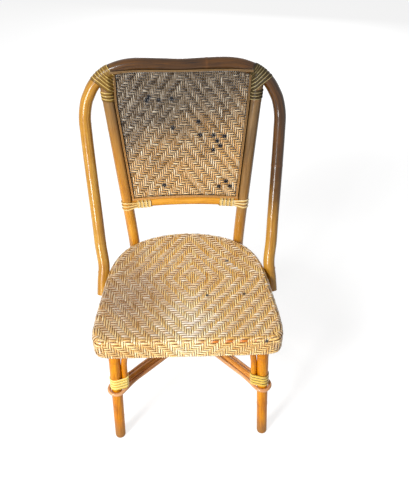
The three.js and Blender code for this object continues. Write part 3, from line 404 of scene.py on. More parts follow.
def wovenRattan(name, **changes):
    # Round rattan core split and flattened, woven damp and varnished: each strand has its own tone, golden,
    # pinkish or pale, that drifts along it, paler in a painted highlight on the seat's front. Dirt and
    # painted shade darken its edges and the places where it dips, age with painted shade darkens where the
    # marks ask, dark painted shade fills the broken strands, and the varnish glints.
    look = {**weaveLook, **changes}
    rough = look["roughness"]
    material, tree = newMaterial(name)
    grain = addNode(tree, "Attribute", out="Vector", attribute_name="grain")
    place = addNode(tree, "TexCoord", out="Object")
    drift = stretchedNoise(tree, grain, (1 / look["driftLength"], 0.3, 3.7), 3.0, 0.6)
    streak = stretchedNoise(tree, grain, (1 / look["streakLength"], 2.6, 5.1), 3.0, 0.65)
    bleach, age, dye, stain, facing, height = (
        addNode(tree, "Attribute", out="Fac", attribute_name=key)
        for key in ("bleach", "age", "dye", "stain", "facing", "mark")
    )
    tone = addNode(tree, "Math", [drift, 0.9, streak], operation="MULTIPLY_ADD")
    tone = addNode(tree, "MapRange", [tone, 0.7, 1.2])
    # a painted highlight lifts the tone to paler hues
    tone = addNode(tree, "Math", [bleach, 0.4, tone], operation="MULTIPLY_ADD")
    fresh = addNode(tree, "ValToRGB", [tone], stops=evenStops(look["hues"], 0.04, 0.96))
    # age with painted shade takes these darker colours
    worn = addNode(tree, "ValToRGB", [tone], stops=evenStops(look["agedHues"], 0.08, 0.92))
    blotch = addNode(tree, "TexNoise", {"Vector": place, "Scale": 14.0, "Detail": 3.0, "Roughness": 0.6})
    age = addNode(tree, "Math", [blotch, 0.7, age], operation="MULTIPLY_ADD")
    age = addNode(tree, "MapRange", [age, 0.42, 1.12])
    edge = addNode(tree, "SeparateXYZ", [grain], "Y")
    edge = addNode(tree, "Math", [edge], operation="ABSOLUTE")
    edge = addNode(tree, "MapRange", [edge, *look["edge"], 0.0, 0.92], interpolation_type="SMOOTHSTEP")
    # a strand's inner face stands high where its outer face dips
    facing = addNode(tree, "Math", [facing], operation="SIGN")
    height = addNode(tree, "Math", [height, facing], operation="MULTIPLY")
    # painted shade with dirt where the strand dips under others
    dip = addNode(tree, "MapRange", [height, 0.45, -0.5, 0.0, 0.8], interpolation_type="SMOOTHSTEP")
    dirt = addNode(tree, "Math", [edge, dip], operation="MAXIMUM")
    layers = [(age, worn), (dye, look["dye"]), (dirt, look["gap"]), (stain, look["stain"])]
    shine = addNode(tree, "MapRange", [streak, 0.3, 0.7, rough - 0.07, rough + 0.16])
    bend = addNode(tree, "Bump", {"Strength": 1.0, "Distance": look["relief"], "Height": height})
    bump = {"Strength": 0.4, "Distance": look["bump"], "Height": streak, "Normal": bend}
    finishVarnished(tree, look, fresh, layers, shine, addNode(tree, "Bump", bump))
    return material


peelLook = {
    "body": "#e4c044",
    "deep": "#bd912c",
    # edge colour: the paler cut edge with a painted highlight
    "edge": "#efdb84",
    "seam": "#5b3a12",
    "streakLength": 35 * mm,
    "bump": 0.15 * mm,
    "roughness": 0.38,
    "specular": 0.3,
    "coat": 0.35,
    "coatRoughness": 0.2,
}


def canePeelBinding(name, **changes):
    # Flat peel of rattan, the glossy outer skin, wound damp and varnished: smooth across, pale along the cut
    # edge that stands up, its own paler cut with a painted highlight, dark along the edge that the next turn
    # shades, and streaked along its length.
    look = {**peelLook, **changes}
    rough = look["roughness"]
    material, tree = newMaterial(name)
    grain = addNode(tree, "Attribute", out="Vector", attribute_name="grain")
    streak = stretchedNoise(tree, grain, (1 / look["streakLength"], 2.6, 0.7), 4.0, 0.6)
    colour = addNode(tree, "ValToRGB", [streak], stops=[(0.3, look["deep"]), (0.62, look["body"])])
    across = addNode(tree, "SeparateXYZ", [grain], "Y")
    # painted highlight with the paler cut, along the edge that stands up
    rim = addNode(tree, "MapRange", [across, 0.4, 0.72], interpolation_type="SMOOTHSTEP")
    seam = addNode(tree, "MapRange", [across, -0.55, -0.95, 0.0, 0.85], interpolation_type="SMOOTHSTEP")
    shine = addNode(tree, "MapRange", [streak, 0.3, 0.7, rough - 0.08, rough + 0.12])
    bump = addNode(tree, "Bump", {"Strength": 0.4, "Distance": look["bump"], "Height": streak})
    finishVarnished(tree, look, colour, [(rim, look["edge"]), (seam, look["seam"])], shine, bump)
    return material


def drawnSteel(name):
    # Drawn steel nail with a stamped head: brassy brown from old varnish and rust, little bare metal left.
    material, tree = newMaterial(name)
    place = addNode(tree, "TexCoord", out="Object")
    rust = addNode(tree, "TexNoise", {"Vector": place, "Scale": 420.0, "Detail": 4.0, "Roughness": 0.6})
    colour = addNode(tree, "ValToRGB", [rust], stops=[(0.42, "#b98a4c"), (0.62, "#8a5326")])
    shine = addNode(tree, "MapRange", [rust, 0.3, 0.7, 0.3, 0.65])
    bump = addNode(tree, "Bump", {"Strength": 0.4, "Distance": 0.1 * mm, "Height": rust})
    surface = {"Base Color": colour, "Roughness": shine, "Metallic": 0.6, "Normal": bump}
    addNode(tree, "OutputMaterial", [addNode(tree, "BsdfPrincipled", surface)])
    return material


# such a pole gets neither age nor painted shade
unaged = {"ageFrom": 9.0, "ageFull": 10.0}      # out of reach, so that the pole stays fresh
hoopRattan = varnishedRattan("varnished_rattan_hoop")
# the posts darken upwards with age and painted shade
postRattan = varnishedRattan(
    "varnished_rattan_post", pale="#e2a43e", body="#cc8a24", deep="#a16212",
    aged="#7c5f3a", agedDeep="#4a361c", ageSlope=(1.25, 0.0, 2.3), ageFrom=1.05, ageFull=2.15,
)
railRattan = varnishedRattan(
    "varnished_rattan_rail", pale="#e6aa40", body="#d08f26", deep="#a56614", **unaged,
)
legRattan = varnishedRattan(
    "varnished_rattan_leg", pale="#de9a16", body="#c67806", deep="#9a5403",
    specular=0.06, coat=0.14, **unaged,
)
braceRattan = varnishedRattan(
    "varnished_rattan_brace", pale="#efb56a", body="#d18a3c", deep="#9d5a1e", roughness=0.3, **unaged,
)
loopRattan = varnishedRattan(
    "peeled_rattan_loop", pale="#e9bd8c", body="#cf9462", deep="#9b6136", fibre=2 * mm, **unaged,
)
hiddenRattan = varnishedRattan(
    "bare_rattan_ring", pale="#c9a672", body="#a9814a", deep="#7c5828", roughness=0.55, **unaged,
)
# the beads' joint colour paints shade along their hollow and edges
beadRattan = varnishedRattan(
    "split_rattan_bead", pale="#f0c27e", body="#dba25c", deep="#b07236", aged="#967850", agedDeep="#5e4830",
    joint="#2c180b", joints=0.5, ageSlope=(0.6, 0.0, 2.2), ageFrom=1.2, ageFull=2.2,
)
seatStrands = wovenRattan("woven_rattan_seat")
seatRows = wovenRattan("woven_rattan_seat_rows", hues=["#b07a3a", "#dcb068", "#e8c69a", "#f3e0b2", "#fff8ea"])
# the back's gap and dye colours paint shade at strand edges, beside the beads and over the top
backWear = {
    "gap": "#170c05", "dye": "#1c0f06", "relief": 1.6 * mm, "edge": (0.2, 0.84),
    "specular": 0.14, "coat": 0.14,
}
backStrands = wovenRattan(
    "woven_rattan_back", hues=["#a66c2a", "#e0a654", "#f2c088", "#fbdca4", "#fff6e2"],
    agedHues=["#40311e", "#7a654a", "#a8947a", "#e0d6c4"], **backWear,
)
# the rows are a darker copy of the uprights' material: painted shade
backRows = wovenRattan(
    "woven_rattan_back_rows", hues=["#8a5c28", "#c28e46", "#d8a86c", "#eec88c", "#fff0cc"],
    agedHues=["#2e2314", "#5c4a34", "#877560", "#cabda6"], roughness=0.24, **backWear,
)
strawPeel = canePeelBinding("straw_cane_peel")
creamPeel = canePeelBinding("cream_cane_peel", body="#e2c070", deep="#b0843a", edge="#fff2c4", seam="#5a3714")
olivePeel = canePeelBinding(
    "olive_cane_peel", body="#7e5e20", deep="#4c340c", edge="#d0b26a", seam="#241608",
    specular=0.14, coat=0.2,
)
# a darker copy of the olive peel for the right side: painted shade
umberPeel = canePeelBinding(
    "umber_cane_peel", body="#43381f", deep="#20180b", edge="#aa9a6e", seam="#120b04",
    specular=0.1, coat=0.14,
)
nailSteel = drawnSteel("drawn_steel")
print("materials made")


# Seat outline

seat = {
    "front": -233.61 * mm,          # y of its front edge
    "width": 430 * mm,
    "depth": 374 * mm,
    "height": 457 * mm,
    "apron": 60 * mm,
    "dish": 9 * mm,
    "sheet": 3.2 * mm,              # thickness of the woven sheet
    "ring": 22 * mm,
    "apronRing": 17 * mm,
    "lip": 5 * mm,
    "fit": 0.3 * mm,
    # right half from the front middle to the rear middle, as shares of half the width and of the depth
    "outline": [
        (0, 0), (0.34, 0), (0.66, 0.001), (0.87, 0.006), (0.95, 0.022), (0.986, 0.055), (1, 0.11),
        (0.991, 0.21), (0.965, 0.335), (0.944, 0.421), (0.922, 0.52), (0.886, 0.637), (0.826, 0.74),
        (0.735, 0.826), (0.609, 0.892), (0.475, 0.936), (0.326, 0.966), (0.163, 0.986), (0, 0.992),
    ],
}
ringInset = seat["sheet"] + seat["fit"] + seat["ring"] / 2
apronInset = seat["sheet"] + seat["fit"] + seat["apronRing"] / 2
ringHeight = seat["height"] - ringInset
seatBottom = seat["height"] - seat["apron"]
apronRingHeight = seatBottom + apronInset
halfSteps = np.linspace(0, 0.5, 2000)

rightHalf = np.array(seat["outline"]) * [seat["width"] / 2, seat["depth"]] + [0, seat["front"]]
outline = smoothLine(np.vstack([rightHalf, rightHalf[-2:0:-1] * [-1, 1]]), 1800, closed=True)
ahead = directionAlong(outline, closed=True)
# the outline's points and the directions inwards, with the first repeated at the end
outline, inward = (np.vstack([line, line[:1]]) for line in (outline, ahead[:, ::-1] * [-1, 1]))
outlineShares = np.linspace(0, 1, len(outline))


def aroundSeat(t, inset, z):
    # the point at share t of the way round, this far inside the outline, at height z
    share = np.mod(t, 1)
    x, y = (
        np.interp(share, outlineShares, outline[:, k]) + inset * np.interp(share, outlineShares, inward[:, k])
        for k in (0, 1)
    )
    return np.stack(np.broadcast_arrays(x, y, z), -1)


def outwardAt(t):
    return unit(aroundSeat(t, -1.0, 0.0) - aroundSeat(t, 0.0, 0.0))


def whereOnRight(values, wanted):
    # share t on the right half where a rising list of values meets the wanted one
    return np.interp(wanted, values, np.linspace(0, 0.5, len(values)))


# Back plane and hoop

back = {
    "width": 450 * mm,
    "height": 431 * mm,
    "lean": math.radians(14.1),
    "hoop": 28 * mm,
    "hoopFootReach": 212 * mm,
    "hoopRimReach": 247 * mm,
    "hoopFootDrop": 3 * mm,
    "hoopJoints": [310 * mm, 660 * mm, 1020 * mm, 1300 * mm],       # distances along it
    "post": 27 * mm,
    "postOffset": 134 * mm,
    "postSplay": 0.0964,
    "rail": 19.5 * mm,
    "railHeight": 94 * mm,
    "railRise": 8 * mm,
    "beadWidth": 5.2 * mm,
    "beadHeight": 4.4 * mm,
    "beadRise": 3.4 * mm,           # the top bead lies this far up the hoop, measured from its underside
    "beadStraight": 0.9,            # and is this much straighter than the hoop
    "beadTilt": 0.25,               # and leans down by this slope
    "beadPush": {-1: 6 * mm, 1: 2 * mm},        # inwards at the top left and right, past the bindings
    "beadPushFrom": 340 * mm,
    "topCorner": 150 * mm,          # x near the panel's corners, above and below
    "bottomCorner": 120 * mm,
    # the seam darkening beside the beads is dirt with painted shade
    "seam": 3.6 * mm,               # how far the dirt beside the beads reaches over the poles
    # right half of the hoop: share of half the width, share of the height, and how far it stands ahead
    # of the back's plane as a share of the seat's depth
    "hoopLine": [
        (0.925, 0.06, 0.22), (0.942, 0.173, 0.168), (0.973, 0.44, 0.094), (0.994, 0.644, 0.037),
        (0.998, 0.733, 0.011), (0.968, 0.8125, 0), (0.933, 0.852, 0), (0.896, 0.8865, 0), (0.85, 0.917, 0),
        (0.806, 0.9385, 0), (0.746, 0.9605, 0), (0.674, 0.9775, 0), (0.569, 0.993, 0), (0.444, 1, 0),
        (0.213, 0.9977, 0), (0, 0.9933, 0),
    ],
}
besidePost = -(back["post"] / 2 + seat["fit"])
besideHoop = -(back["hoop"] / 2 + seat["fit"])
rearHalf = aroundSeat(halfSteps, besidePost, 0.0)
widest = int(np.argmax(rearHalf[:, 0]))
postShare = np.interp(-back["postOffset"], -rearHalf[widest:, 0], halfSteps[widest:])
postContact = aroundSeat(postShare, besidePost, 0.0)
backUp = np.array([0, math.sin(back["lean"]), math.cos(back["lean"])])
backFront = np.array([0, -math.cos(back["lean"]), math.sin(back["lean"])])


def backPoint(x, v, ahead=0.0):
    # x across, v up along the leaning back, ahead out of its front face
    x, v, ahead = np.broadcast_arrays(x, v, ahead)
    base = np.stack(np.broadcast_arrays(x, postContact[1], seat["height"]), -1)
    return base + v[..., None] * backUp + ahead[..., None] * backFront


def alongBack(points):
    # distance up the leaning back
    return (points - backPoint(0.0, 0.0)) @ backUp


def postX(v):
    # the posts splay evenly towards the top
    return postContact[0] + back["postSplay"] * v


def postAxis(side):
    return unit(backUp + side * back["postSplay"] * xAxis)


def hoopShareAt(z):
    # where round the seat the hoop stands at this height: its reach grows evenly from its foot to the rim
    foot = seatBottom - back["hoopFootDrop"]
    reach = np.interp(z, [foot, seat["height"]], [back["hoopFootReach"], back["hoopRimReach"]])
    return whereOnRight(aroundSeat(halfSteps, besideHoop, 0.0)[:, 1], seat["front"] + reach)


def hoopPoints():
    # three points beside the seat, then those of the hoop's line, with their mirror images
    ends = np.linspace(seatBottom - back["hoopFootDrop"], seat["height"], 3)
    x, v, out = np.array(back["hoopLine"]).T
    rest = backPoint(x * back["width"] / 2, v * back["height"], out * seat["depth"])
    return mirrored(np.vstack([aroundSeat(hoopShareAt(ends), besideHoop, ends), rest]))


hoopPath = smoothLine(hoopPoints(), 320)
topOfHoop = hoopPath[hoopPath[:, 2] > seat["height"] + 0.85 * back["height"] * math.cos(back["lean"])]
topOfHoop = topOfHoop[np.argsort(topOfHoop[:, 0])]


def hoopTopAt(x):
    # height of the hoop's middle line up the back, along its top
    return np.interp(x, topOfHoop[:, 0], (topOfHoop[:, 2] - seat["height"]) / math.cos(back["lean"]))


# Legs and posts

leg = {
    "thick": 28 * mm,
    "foot": 27.5 * mm,
    "footFlat": 17 * mm,
    "footRounding": 7 * mm,
    "frontInset": 43.8 * mm,
    "frontReach": 54.6 * mm,
    "frontFootInset": 20 * mm,
    "frontFootReach": 50 * mm,
    "frontTopDrop": 9 * mm,
    "rearSplay": 31 * mm,
    "rearReach": 448 * mm,
    "rearBow": 6 * mm,
    # distances of the joints from the floor along each pole, left and right
    "postJoints": {-1: [190 * mm, 560 * mm, 760 * mm], 1: [190 * mm, 560 * mm, 820 * mm]},
    "frontJoints": {-1: [95 * mm, 335 * mm], 1: [135 * mm, 335 * mm]},
}
frontLegTop = seat["height"] - seat["sheet"] - leg["frontTopDrop"]


def legRadius(z, topDiameter, topZ):
    # grows evenly from the foot; the last few millimetres are rounded like a quarter of an oval
    full = (leg["foot"] + (topDiameter - leg["foot"]) * np.minimum(1, z / topZ)) / 2
    share = np.clip(z / leg["footRounding"], 0, 1)
    flat = leg["footFlat"] / leg["foot"]
    return full * (flat + (1 - flat) * np.sqrt(1 - (1 - share) ** 2))


def frontLegAt(side, z):
    # a straight line that leans outwards and forwards on its way down to the foot
    share = np.asarray(z, float) / ringHeight
    x = seat["width"] / 2 - leg["frontFootInset"] + (leg["frontFootInset"] - leg["frontInset"]) * share
    y = seat["front"] + leg["frontFootReach"] + (leg["frontReach"] - leg["frontFootReach"]) * share
    return np.stack(np.broadcast_arrays(side * x, y, z), -1)


def postLine():
    # the right post from its foot on the floor, bowed forwards a little, past the seat's rear to the hoop
    top = float(hoopTopAt(postX(back["height"])))
    bend = np.array([postContact[0], postContact[1], seatBottom + seat["apron"] / 2])
    foot = np.array([back["postOffset"] + leg["rearSplay"], seat["front"] + leg["rearReach"], 0])
    shares, bows = np.array([[0.8, 0.5], [0.45, 1], [0.17, 1]]).T
    lower = bend + shares[:, None] * (foot - bend) - np.outer(bows * leg["rearBow"], yAxis)
    v = np.array([0.12, 0.35, 0.7, 1]) * top
    return smoothLine(np.vstack([foot, lower, bend, backPoint(postX(v), v)]), 220)


rightPost = postLine()


def rearLegAt(side, z):
    # the middle of a post at this height
    x, y = (np.interp(z, rightPost[:, 2], rightPost[:, k]) for k in (0, 1))
    return np.stack(np.broadcast_arrays(side * x, y, z), -1)


def withFoot(path, count=8):
    # closer steps where the foot is rounded
    high = path[path[:, 2] >= leg["footRounding"]]
    share = (1 - np.cos(np.linspace(0, np.pi / 2, count))) * leg["footRounding"] / high[0, 2]
    return np.vstack([path[0] + share[:, None] * (high[0] - path[0]), high])


def topBeadV(x):
    # height of the top bead up the back: it follows the hoop, but flatter
    middle = hoopTopAt(0.0)
    sag = (1 - back["beadStraight"]) * (hoopTopAt(x) - middle)
    return middle - back["hoop"] / 2 + back["beadRise"] + sag


def seamMarks(points):
    # dirt and painted shade in the seams beside the beads: how near each point is to a bead's outer edge,
    # square to the back
    x = np.abs(points[:, 0])
    v = alongBack(points)
    edge = postX(v) - back["post"] / 2
    beside = np.where(v > back["railHeight"], np.abs(x - edge), np.inf)
    above = np.where(x < edge, np.abs(topBeadV(x) + back["beadWidth"] / 2 - v), np.inf)
    return {"grime": np.clip(1.3 * (1 - np.minimum(beside, above) / back["seam"]), 0, 0.85)}


def makePoles():
    hoop = poleShape(hoopPath, back["hoop"] / 2, backFront, 32, joints=back["hoopJoints"])
    addPiece("hoop_pole", [hoop], hoopRattan, "back_hoop", seamMarks)
    for word, side in bothSides:
        path = withFoot(rightPost * [side, 1, 1])
        radius = legRadius(path[:, 2], back["post"], seatBottom)
        joints = leg["postJoints"][side]
        shape = poleShape(path, radius, xAxis, 28, seed=3.1 * side, joints=joints, standing=True)
        addPiece(word + "_post_pole", [shape], postRattan, word + "_back_post", seamMarks)
        path = withFoot(frontLegAt(side, np.linspace(0, frontLegTop, 90)))
        radius = legRadius(path[:, 2], leg["thick"], frontLegTop)
        joints = leg["frontJoints"][side]
        shape = poleShape(path, radius, xAxis, 28, seed=5.3 * side, joints=joints, standing=True)
        addPiece(word + "_leg_pole", [shape], legRattan, word + "_front_leg")


makePoles()


# Bottom rail and the beads round the panel

railEnd = float(postX(back["railHeight"]))


def railV(x):
    # arched like a parabola between the posts
    return back["railHeight"] + back["railRise"] * (1 - (x / railEnd) ** 2)


# the panel's edges, a fit away from the poles round it


def panelTop(x):
    return hoopTopAt(x) - back["hoop"] / 2 - seat["fit"]


def panelBottom(x):
    return railV(x) + back["rail"] / 2 + seat["fit"]


def panelEdge(v):
    return postX(v) - back["post"] / 2 - seat["fit"]


def makeRail():
    x = np.linspace(-railEnd, railEnd, 80)
    shape = poleShape(backPoint(x, railV(x)), back["rail"] / 2, backFront, 24, seed=8.0)
    addPiece("rail_pole", [shape], railRattan, "bottom_rail")


def sideBeadX(side, v):
    # middle of a side bead: beside the post, pushed in by a smooth step near the top
    beside = (seat["fit"] + back["beadWidth"] / 2) * math.hypot(1, back["postSplay"])
    share = np.clip((v - back["beadPushFrom"]) / (back["height"] - back["beadPushFrom"]) * 1.4, 0, 1)
    push = back["beadPush"][side] * share**2 * (3 - 2 * share)
    return side * (postX(v) - back["post"] / 2 - beside - push)


def makeBeads():
    # Strips with two round ridges that cover the panel's edges, in front and behind. The top ones lie on the
    # hoop: they stand out as far as its round face does at their height.
    inset = back["beadWidth"] / 2
    topEnd = float(panelEdge(panelTop(back["topCorner"])))
    bottomEnd = float(panelEdge(panelBottom(back["bottomCorner"]) + inset))
    xTop = np.linspace(-topEnd, topEnd, 60)
    xBottom = np.linspace(-bottomEnd, bottomEnd, 60)
    v = np.linspace(panelBottom(bottomEnd), topBeadV(topEnd), 60)
    flat = seat["sheet"] / 2 + seat["fit"] / 2 + back["beadHeight"] / 2
    belowHoop = hoopTopAt(xTop) - topBeadV(xTop)
    onHoop = np.sqrt(np.maximum((back["hoop"] / 2) ** 2 - belowHoop**2, 0)) + back["beadHeight"] / 2
    lines = {
        "top": (xTop, topBeadV(xTop), np.maximum(onHoop, flat), back["beadTilt"]),
        "bottom": (xBottom, panelBottom(xBottom) + inset, flat, 0),
        "left": (sideBeadX(-1, v), v, flat, 0),
        "right": (sideBeadX(1, v), v, flat, 0),
    }
    # painted shade along the hollow between the two ridges and along both edges, in the joint colour
    across = np.abs(np.array(twoRidges)[:, 0])
    hollow = np.where((across < 0.06) | (across > 0.48), 1.0, 0.0)
    for word, face in (("front", 1), ("rear", -1)):
        for edge, (x, height, out, tilt) in lines.items():
            path = backPoint(x, height, face * out)
            outs = face * backFront - tilt * backUp
            seed = len(edge) * face
            shape = stripShape(path, outs, back["beadWidth"], back["beadHeight"], twoRidges, seed=seed)
            shape["mark"] = padEnds(np.tile(hollow, len(path)), shape)
            addPiece(f"{word}_{edge}_strip", [shape], beadRattan, f"{word}_{edge}_bead")


makeRail()
makeBeads()
print("frame of the back made")


# Weave

weave = {
    "float": 3,                     # each strand goes over three and under three
    "strandPitch": 5.35 * mm,
    "rowPitch": 7 * mm,
    "strandWidth": 4.9 * mm,
    "rowWidth": 6.2 * mm,
    "thickness": 1.35 * mm,
    "lift": 0.9 * mm,
    "seatStrands": 75,
    "seatMirror": 208 * mm,         # rows turn round here, measured from the seat's front edge
    "seatDrift": 12 * mm,           # the middle line wanders this far to the right
    "seatMargin": 2.5 * mm,         # strands cross no nearer to the rim than this
    "apronRows": 8,
    # the back is woven finer
    "backStrandPitch": 4.75 * mm,
    "backRowPitch": 6 * mm,
    "backStrandWidth": 4.3 * mm,
    "backRowWidth": 5.1 * mm,
    "backHalf": 160 * mm,
    "backMiddle": 4 * mm,
    "backMargin": 1 * mm,
    "backCorner": (100 * mm, 170 * mm),         # the hoop bends down over the panel between these distances
}
wear = {
    # places on the seat are x and y from its front edge
    "shadePlace": (-150 * mm, 140 * mm),
    "shadeReach": (110 * mm, 130 * mm),
    # a painted highlight on the seat's front
    "bleachPlace": (8 * mm, 50 * mm),
    "bleachReach": (85 * mm, 120 * mm),
    "rearFrom": 250 * mm,
    "rearOver": 150 * mm,
    "dyedRow": 1,
    "dyedUntil": 150 * mm,          # the dyed row fades out here on the right
    "dyedOver": 70 * mm,
    "dyedDepth": 30 * mm,
    # the line beside the beads is dirt with painted shade
    "crevice": 2.6 * mm,            # width of the dirty line beside the beads
    # broken strands, where the dark behind them is painted on as shade, on the back as x and v
    "backChip": 6.5 * mm,
    "backChips": [
        (-76, 359), (-82, 351), (-54, 352), (-25, 354), (-24, 287), (36, 300), (40, 269), (71, 268),
        (97, 265), (80, 254), (87, 242), (70, 232), (101, 152), (111, 138), (84, 138), (-50, 144),
    ],
    "seatChip": 5.2 * mm,
    "seatChips": [(100, 261), (47, 148), (135, 147), (174, 4)],
}


def strandLift(phase):
    # a sine over six strands, flattened so that each float stays high up to its ends
    wave = np.sin(np.pi * (phase + 0.5) / weave["float"])
    return np.sign(wave) * np.abs(wave) ** 0.55


def withMiddles(values):
    # the values with the mean of each two neighbours set between them
    out = np.empty((2 * len(values) - 1,) + values.shape[1:])
    out[::2] = values
    out[1::2] = (values[1:] + values[:-1]) / 2
    return out


def strandShape(path, outs, lifts, width, seed, closed=False):
    # the mark is how high the strand stands, from -1 to 1; facing is above 0 on its outer face and below 0
    # on its inner one
    raised = path + outs * (lifts * weave["lift"])[:, None]
    shape = stripShape(raised, outs, width, weave["thickness"], strandOval, closed, seed)
    shape["mark"] = padEnds(np.repeat(lifts, len(strandOval)), shape)
    shape["facing"] = padEnds(np.tile([height for _, height in strandOval], len(path)), shape)
    return shape


rollRadius = ringInset - seat["sheet"] / 2
underRadius = apronInset - seat["sheet"] / 2
rollLength = rollRadius * np.pi / 2
straightLength = ringHeight - apronRingHeight
underLength = underRadius * np.pi


def downTheSide(t, s):
    # The woven side at share t round the seat and distance s from its rim: a quarter turn over the ring,
    # straight down, half a turn under the lower ring, and a short lip up inside. Gives the place and the
    # outward direction.
    t, s = np.broadcast_arrays(t, s)
    roll = np.clip(s / rollRadius, 0, np.pi / 2)
    down = np.clip(s - rollLength, 0, straightLength)
    under = np.clip((s - rollLength - straightLength) / underRadius, 0, np.pi)
    lip = np.clip(s - rollLength - straightLength - underLength, 0, seat["lip"])
    inset = ringInset - rollRadius * np.sin(roll) + underRadius * (1 - np.cos(under))
    z = ringHeight + rollRadius * np.cos(roll) - down - underRadius * np.sin(under) + lip
    tilt = (roll + under)[..., None]
    return aroundSeat(t, inset, z), outwardAt(t) * np.sin(tilt) + zAxis * np.cos(tilt)


seatMiddle = np.array([0, seat["front"] + seat["depth"] / 2])
rimX, rimY = (aroundSeat(np.linspace(0, 1, 2001)[:-1], ringInset, 0.0)[:, :2] - seatMiddle).T
rimAngle, rimReach = np.arctan2(rimY, rimX), np.hypot(rimX, rimY)


def onSeatTop(x, y):
    # dished: lowest in the middle, rising with the square of the share of the way to the rim
    angle = np.arctan2(y - seatMiddle[1], x - seatMiddle[0])
    reach = np.interp(angle, rimAngle, rimReach, period=2 * np.pi)
    share = np.minimum(1, np.hypot(x - seatMiddle[0], y - seatMiddle[1]) / reach)
    z = seat["height"] - seat["sheet"] / 2 - seat["dish"] * (1 - share**2)
    return np.stack(np.broadcast_arrays(x, y, z), -1)


def seatGrid():
    # where each strand and each row of the top crosses the rim, and how the strands share out round it
    count = weave["seatStrands"]
    x = (np.arange(count) - (count - 1) / 2) * weave["strandPitch"]
    rows = int((seat["depth"] - 2 * ringInset) / weave["rowPitch"])
    y = seat["front"] + ringInset + (np.arange(rows) + 0.5) * weave["rowPitch"]
    half = aroundSeat(halfSteps, ringInset, 0.0)
    widestRim = int(np.argmax(half[:, 0]))
    front = np.interp(np.abs(x), half[:widestRim, 0], halfSteps[:widestRim]) * np.sign(x)
    rear = 0.5 - (0.5 - np.interp(-np.abs(x), -half[widestRim:, 0], halfSteps[widestRim:])) * np.sign(x)
    right = whereOnRight(half[:, 1], y)
    crossings = np.mod(np.concatenate([front, rear, right, -right]), 1)
    order = np.argsort(crossings)
    t = crossings[order]
    # the crossings evened out by a weighted mean of seven neighbours
    kernel = np.array([1, 2, 3, 4, 3, 2, 1]) / 16
    pad = len(kernel) // 2
    even = np.convolve(np.concatenate([t[-pad:] - 1, t, t[:pad] + 1]), kernel, "valid")
    # a strand's phase grows from the nearest of the places where the pattern turns round
    turnY = seat["front"] + weave["seatMirror"]
    mirror = whereOnRight(half[:, 1], turnY)
    valleys = np.interp([0, mirror, 0.5, 1 - mirror, 1], even, np.arange(len(t)))
    counts = np.abs(np.arange(len(t))[:, None] - valleys)
    frontRows = np.sum(y < turnY)
    bases = np.array([frontRows, count // 2, rows - frontRows, count // 2, frontRows])
    phase = np.floor(counts.min(axis=1)) + bases[np.argmin(counts, axis=1)]
    gap = (np.roll(even, -1) - np.roll(even, 1)) % 1 * travelled(outline)[-1] / 2
    front, rear, right, left = np.split(np.argsort(order), np.cumsum([count, count, rows]))
    return {
        "x": x, "y": y, "t": even, "phase": phase, "gap": gap,
        "rowEnds": (left, right), "strandEnds": (front, rear),
    }


def sideSteps():
    # distances down the side at which a strand is laid out, and which of them cross a row
    rows = (np.arange(weave["apronRows"]) + 0.5) * weave["rowPitch"]
    under = rollLength + straightLength + underLength * np.linspace(0, 1, 8)
    return np.concatenate([[0], withMiddles(rows), under, [under[-1] + seat["lip"]]]), rows


def strandEnd(grid, end, width):
    # one strand from the rim down the side, over and under the rows there, and round under the lower ring
    steps, rows = sideSteps()
    path, outs = downTheSide(grid["t"][end], steps)
    lifts = np.full(len(steps), 0.55)
    lifts[0] = 0
    lifts[1:2 * len(rows)] = withMiddles(strandLift(grid["phase"][end] + np.arange(len(rows))))
    narrow = min(width, 0.97 * grid["gap"][end])
    widths = np.full(len(steps), narrow)
    widths[0] = (width + narrow) / 2
    return path, outs, lifts, widths


def seatStrandShapes(grid, across):
    # strands of one direction: across for the rows from side to side, otherwise those from front to rear
    x, y, mirror = grid["x"], grid["y"] - seat["front"], weave["seatMirror"]
    drift = weave["seatDrift"] * np.sin(np.pi * np.clip(y / (2 * mirror), 0, 1))
    columnPhase = np.floor(np.abs(x - drift[:, None]) / weave["strandPitch"])
    phase = columnPhase + np.floor(np.abs(y - mirror) / weave["rowPitch"])[:, None]
    lines, cuts, ends = (grid["y"], x, grid["rowEnds"]) if across else (x, grid["y"], grid["strandEnds"])
    width, over = (weave["rowWidth"], -1) if across else (weave["strandWidth"], 1)
    phase = phase if across else phase.T
    shapes = []
    for k, (line, start, stop) in enumerate(zip(lines, *ends)):
        first, last = aroundSeat(grid["t"][[start, stop]], ringInset, 0.0)[:, 0 if across else 1]
        inside = (cuts > first + weave["seatMargin"]) & (cuts < last - weave["seatMargin"])
        cut = withMiddles(cuts[inside])
        top = onSeatTop(cut, line) if across else onSeatTop(line, cut)
        lifts = withMiddles(over * strandLift(phase[k, inside]))
        middle = (top, np.tile(zAxis, (len(top), 1)), lifts, np.full(len(top), width))
        startEnd = (part[::-1] for part in strandEnd(grid, start, width))
        parts = (np.concatenate(three) for three in zip(startEnd, middle, strandEnd(grid, stop, width)))
        shapes.append(strandShape(*parts, seed=1.7 * k + 0.3))
    return shapes


def apronRowShapes(grid):
    # closed rows round the side of the seat, each over and under the strands that come down
    shapes = []
    t = grid["t"]
    around = np.stack([t, (t + np.append(t[1:], t[0] + 1)) / 2], -1).ravel()
    for k, s in enumerate(sideSteps()[1]):
        path, outs = downTheSide(around, s)
        lift = -strandLift(grid["phase"] + k)
        lifts = np.stack([lift, (lift + np.roll(lift, -1)) / 2], -1).ravel()
        shape = strandShape(path, outs, lifts, weave["rowWidth"], seed=90.5 + 2.3 * k, closed=True)
        shape["dyed"] = np.full(len(shape["points"]), float(k == wear["dyedRow"]))
        shapes.append(shape)
    return shapes


# painted shade of the dark seen through a broken strand, round each chip
def chipStain(points, chips, radius):
    near = np.min(np.linalg.norm(points[:, None] - chips[None, :], axis=-1), axis=1)
    return np.clip(3.4 * (1 - near / radius), 0, 1)


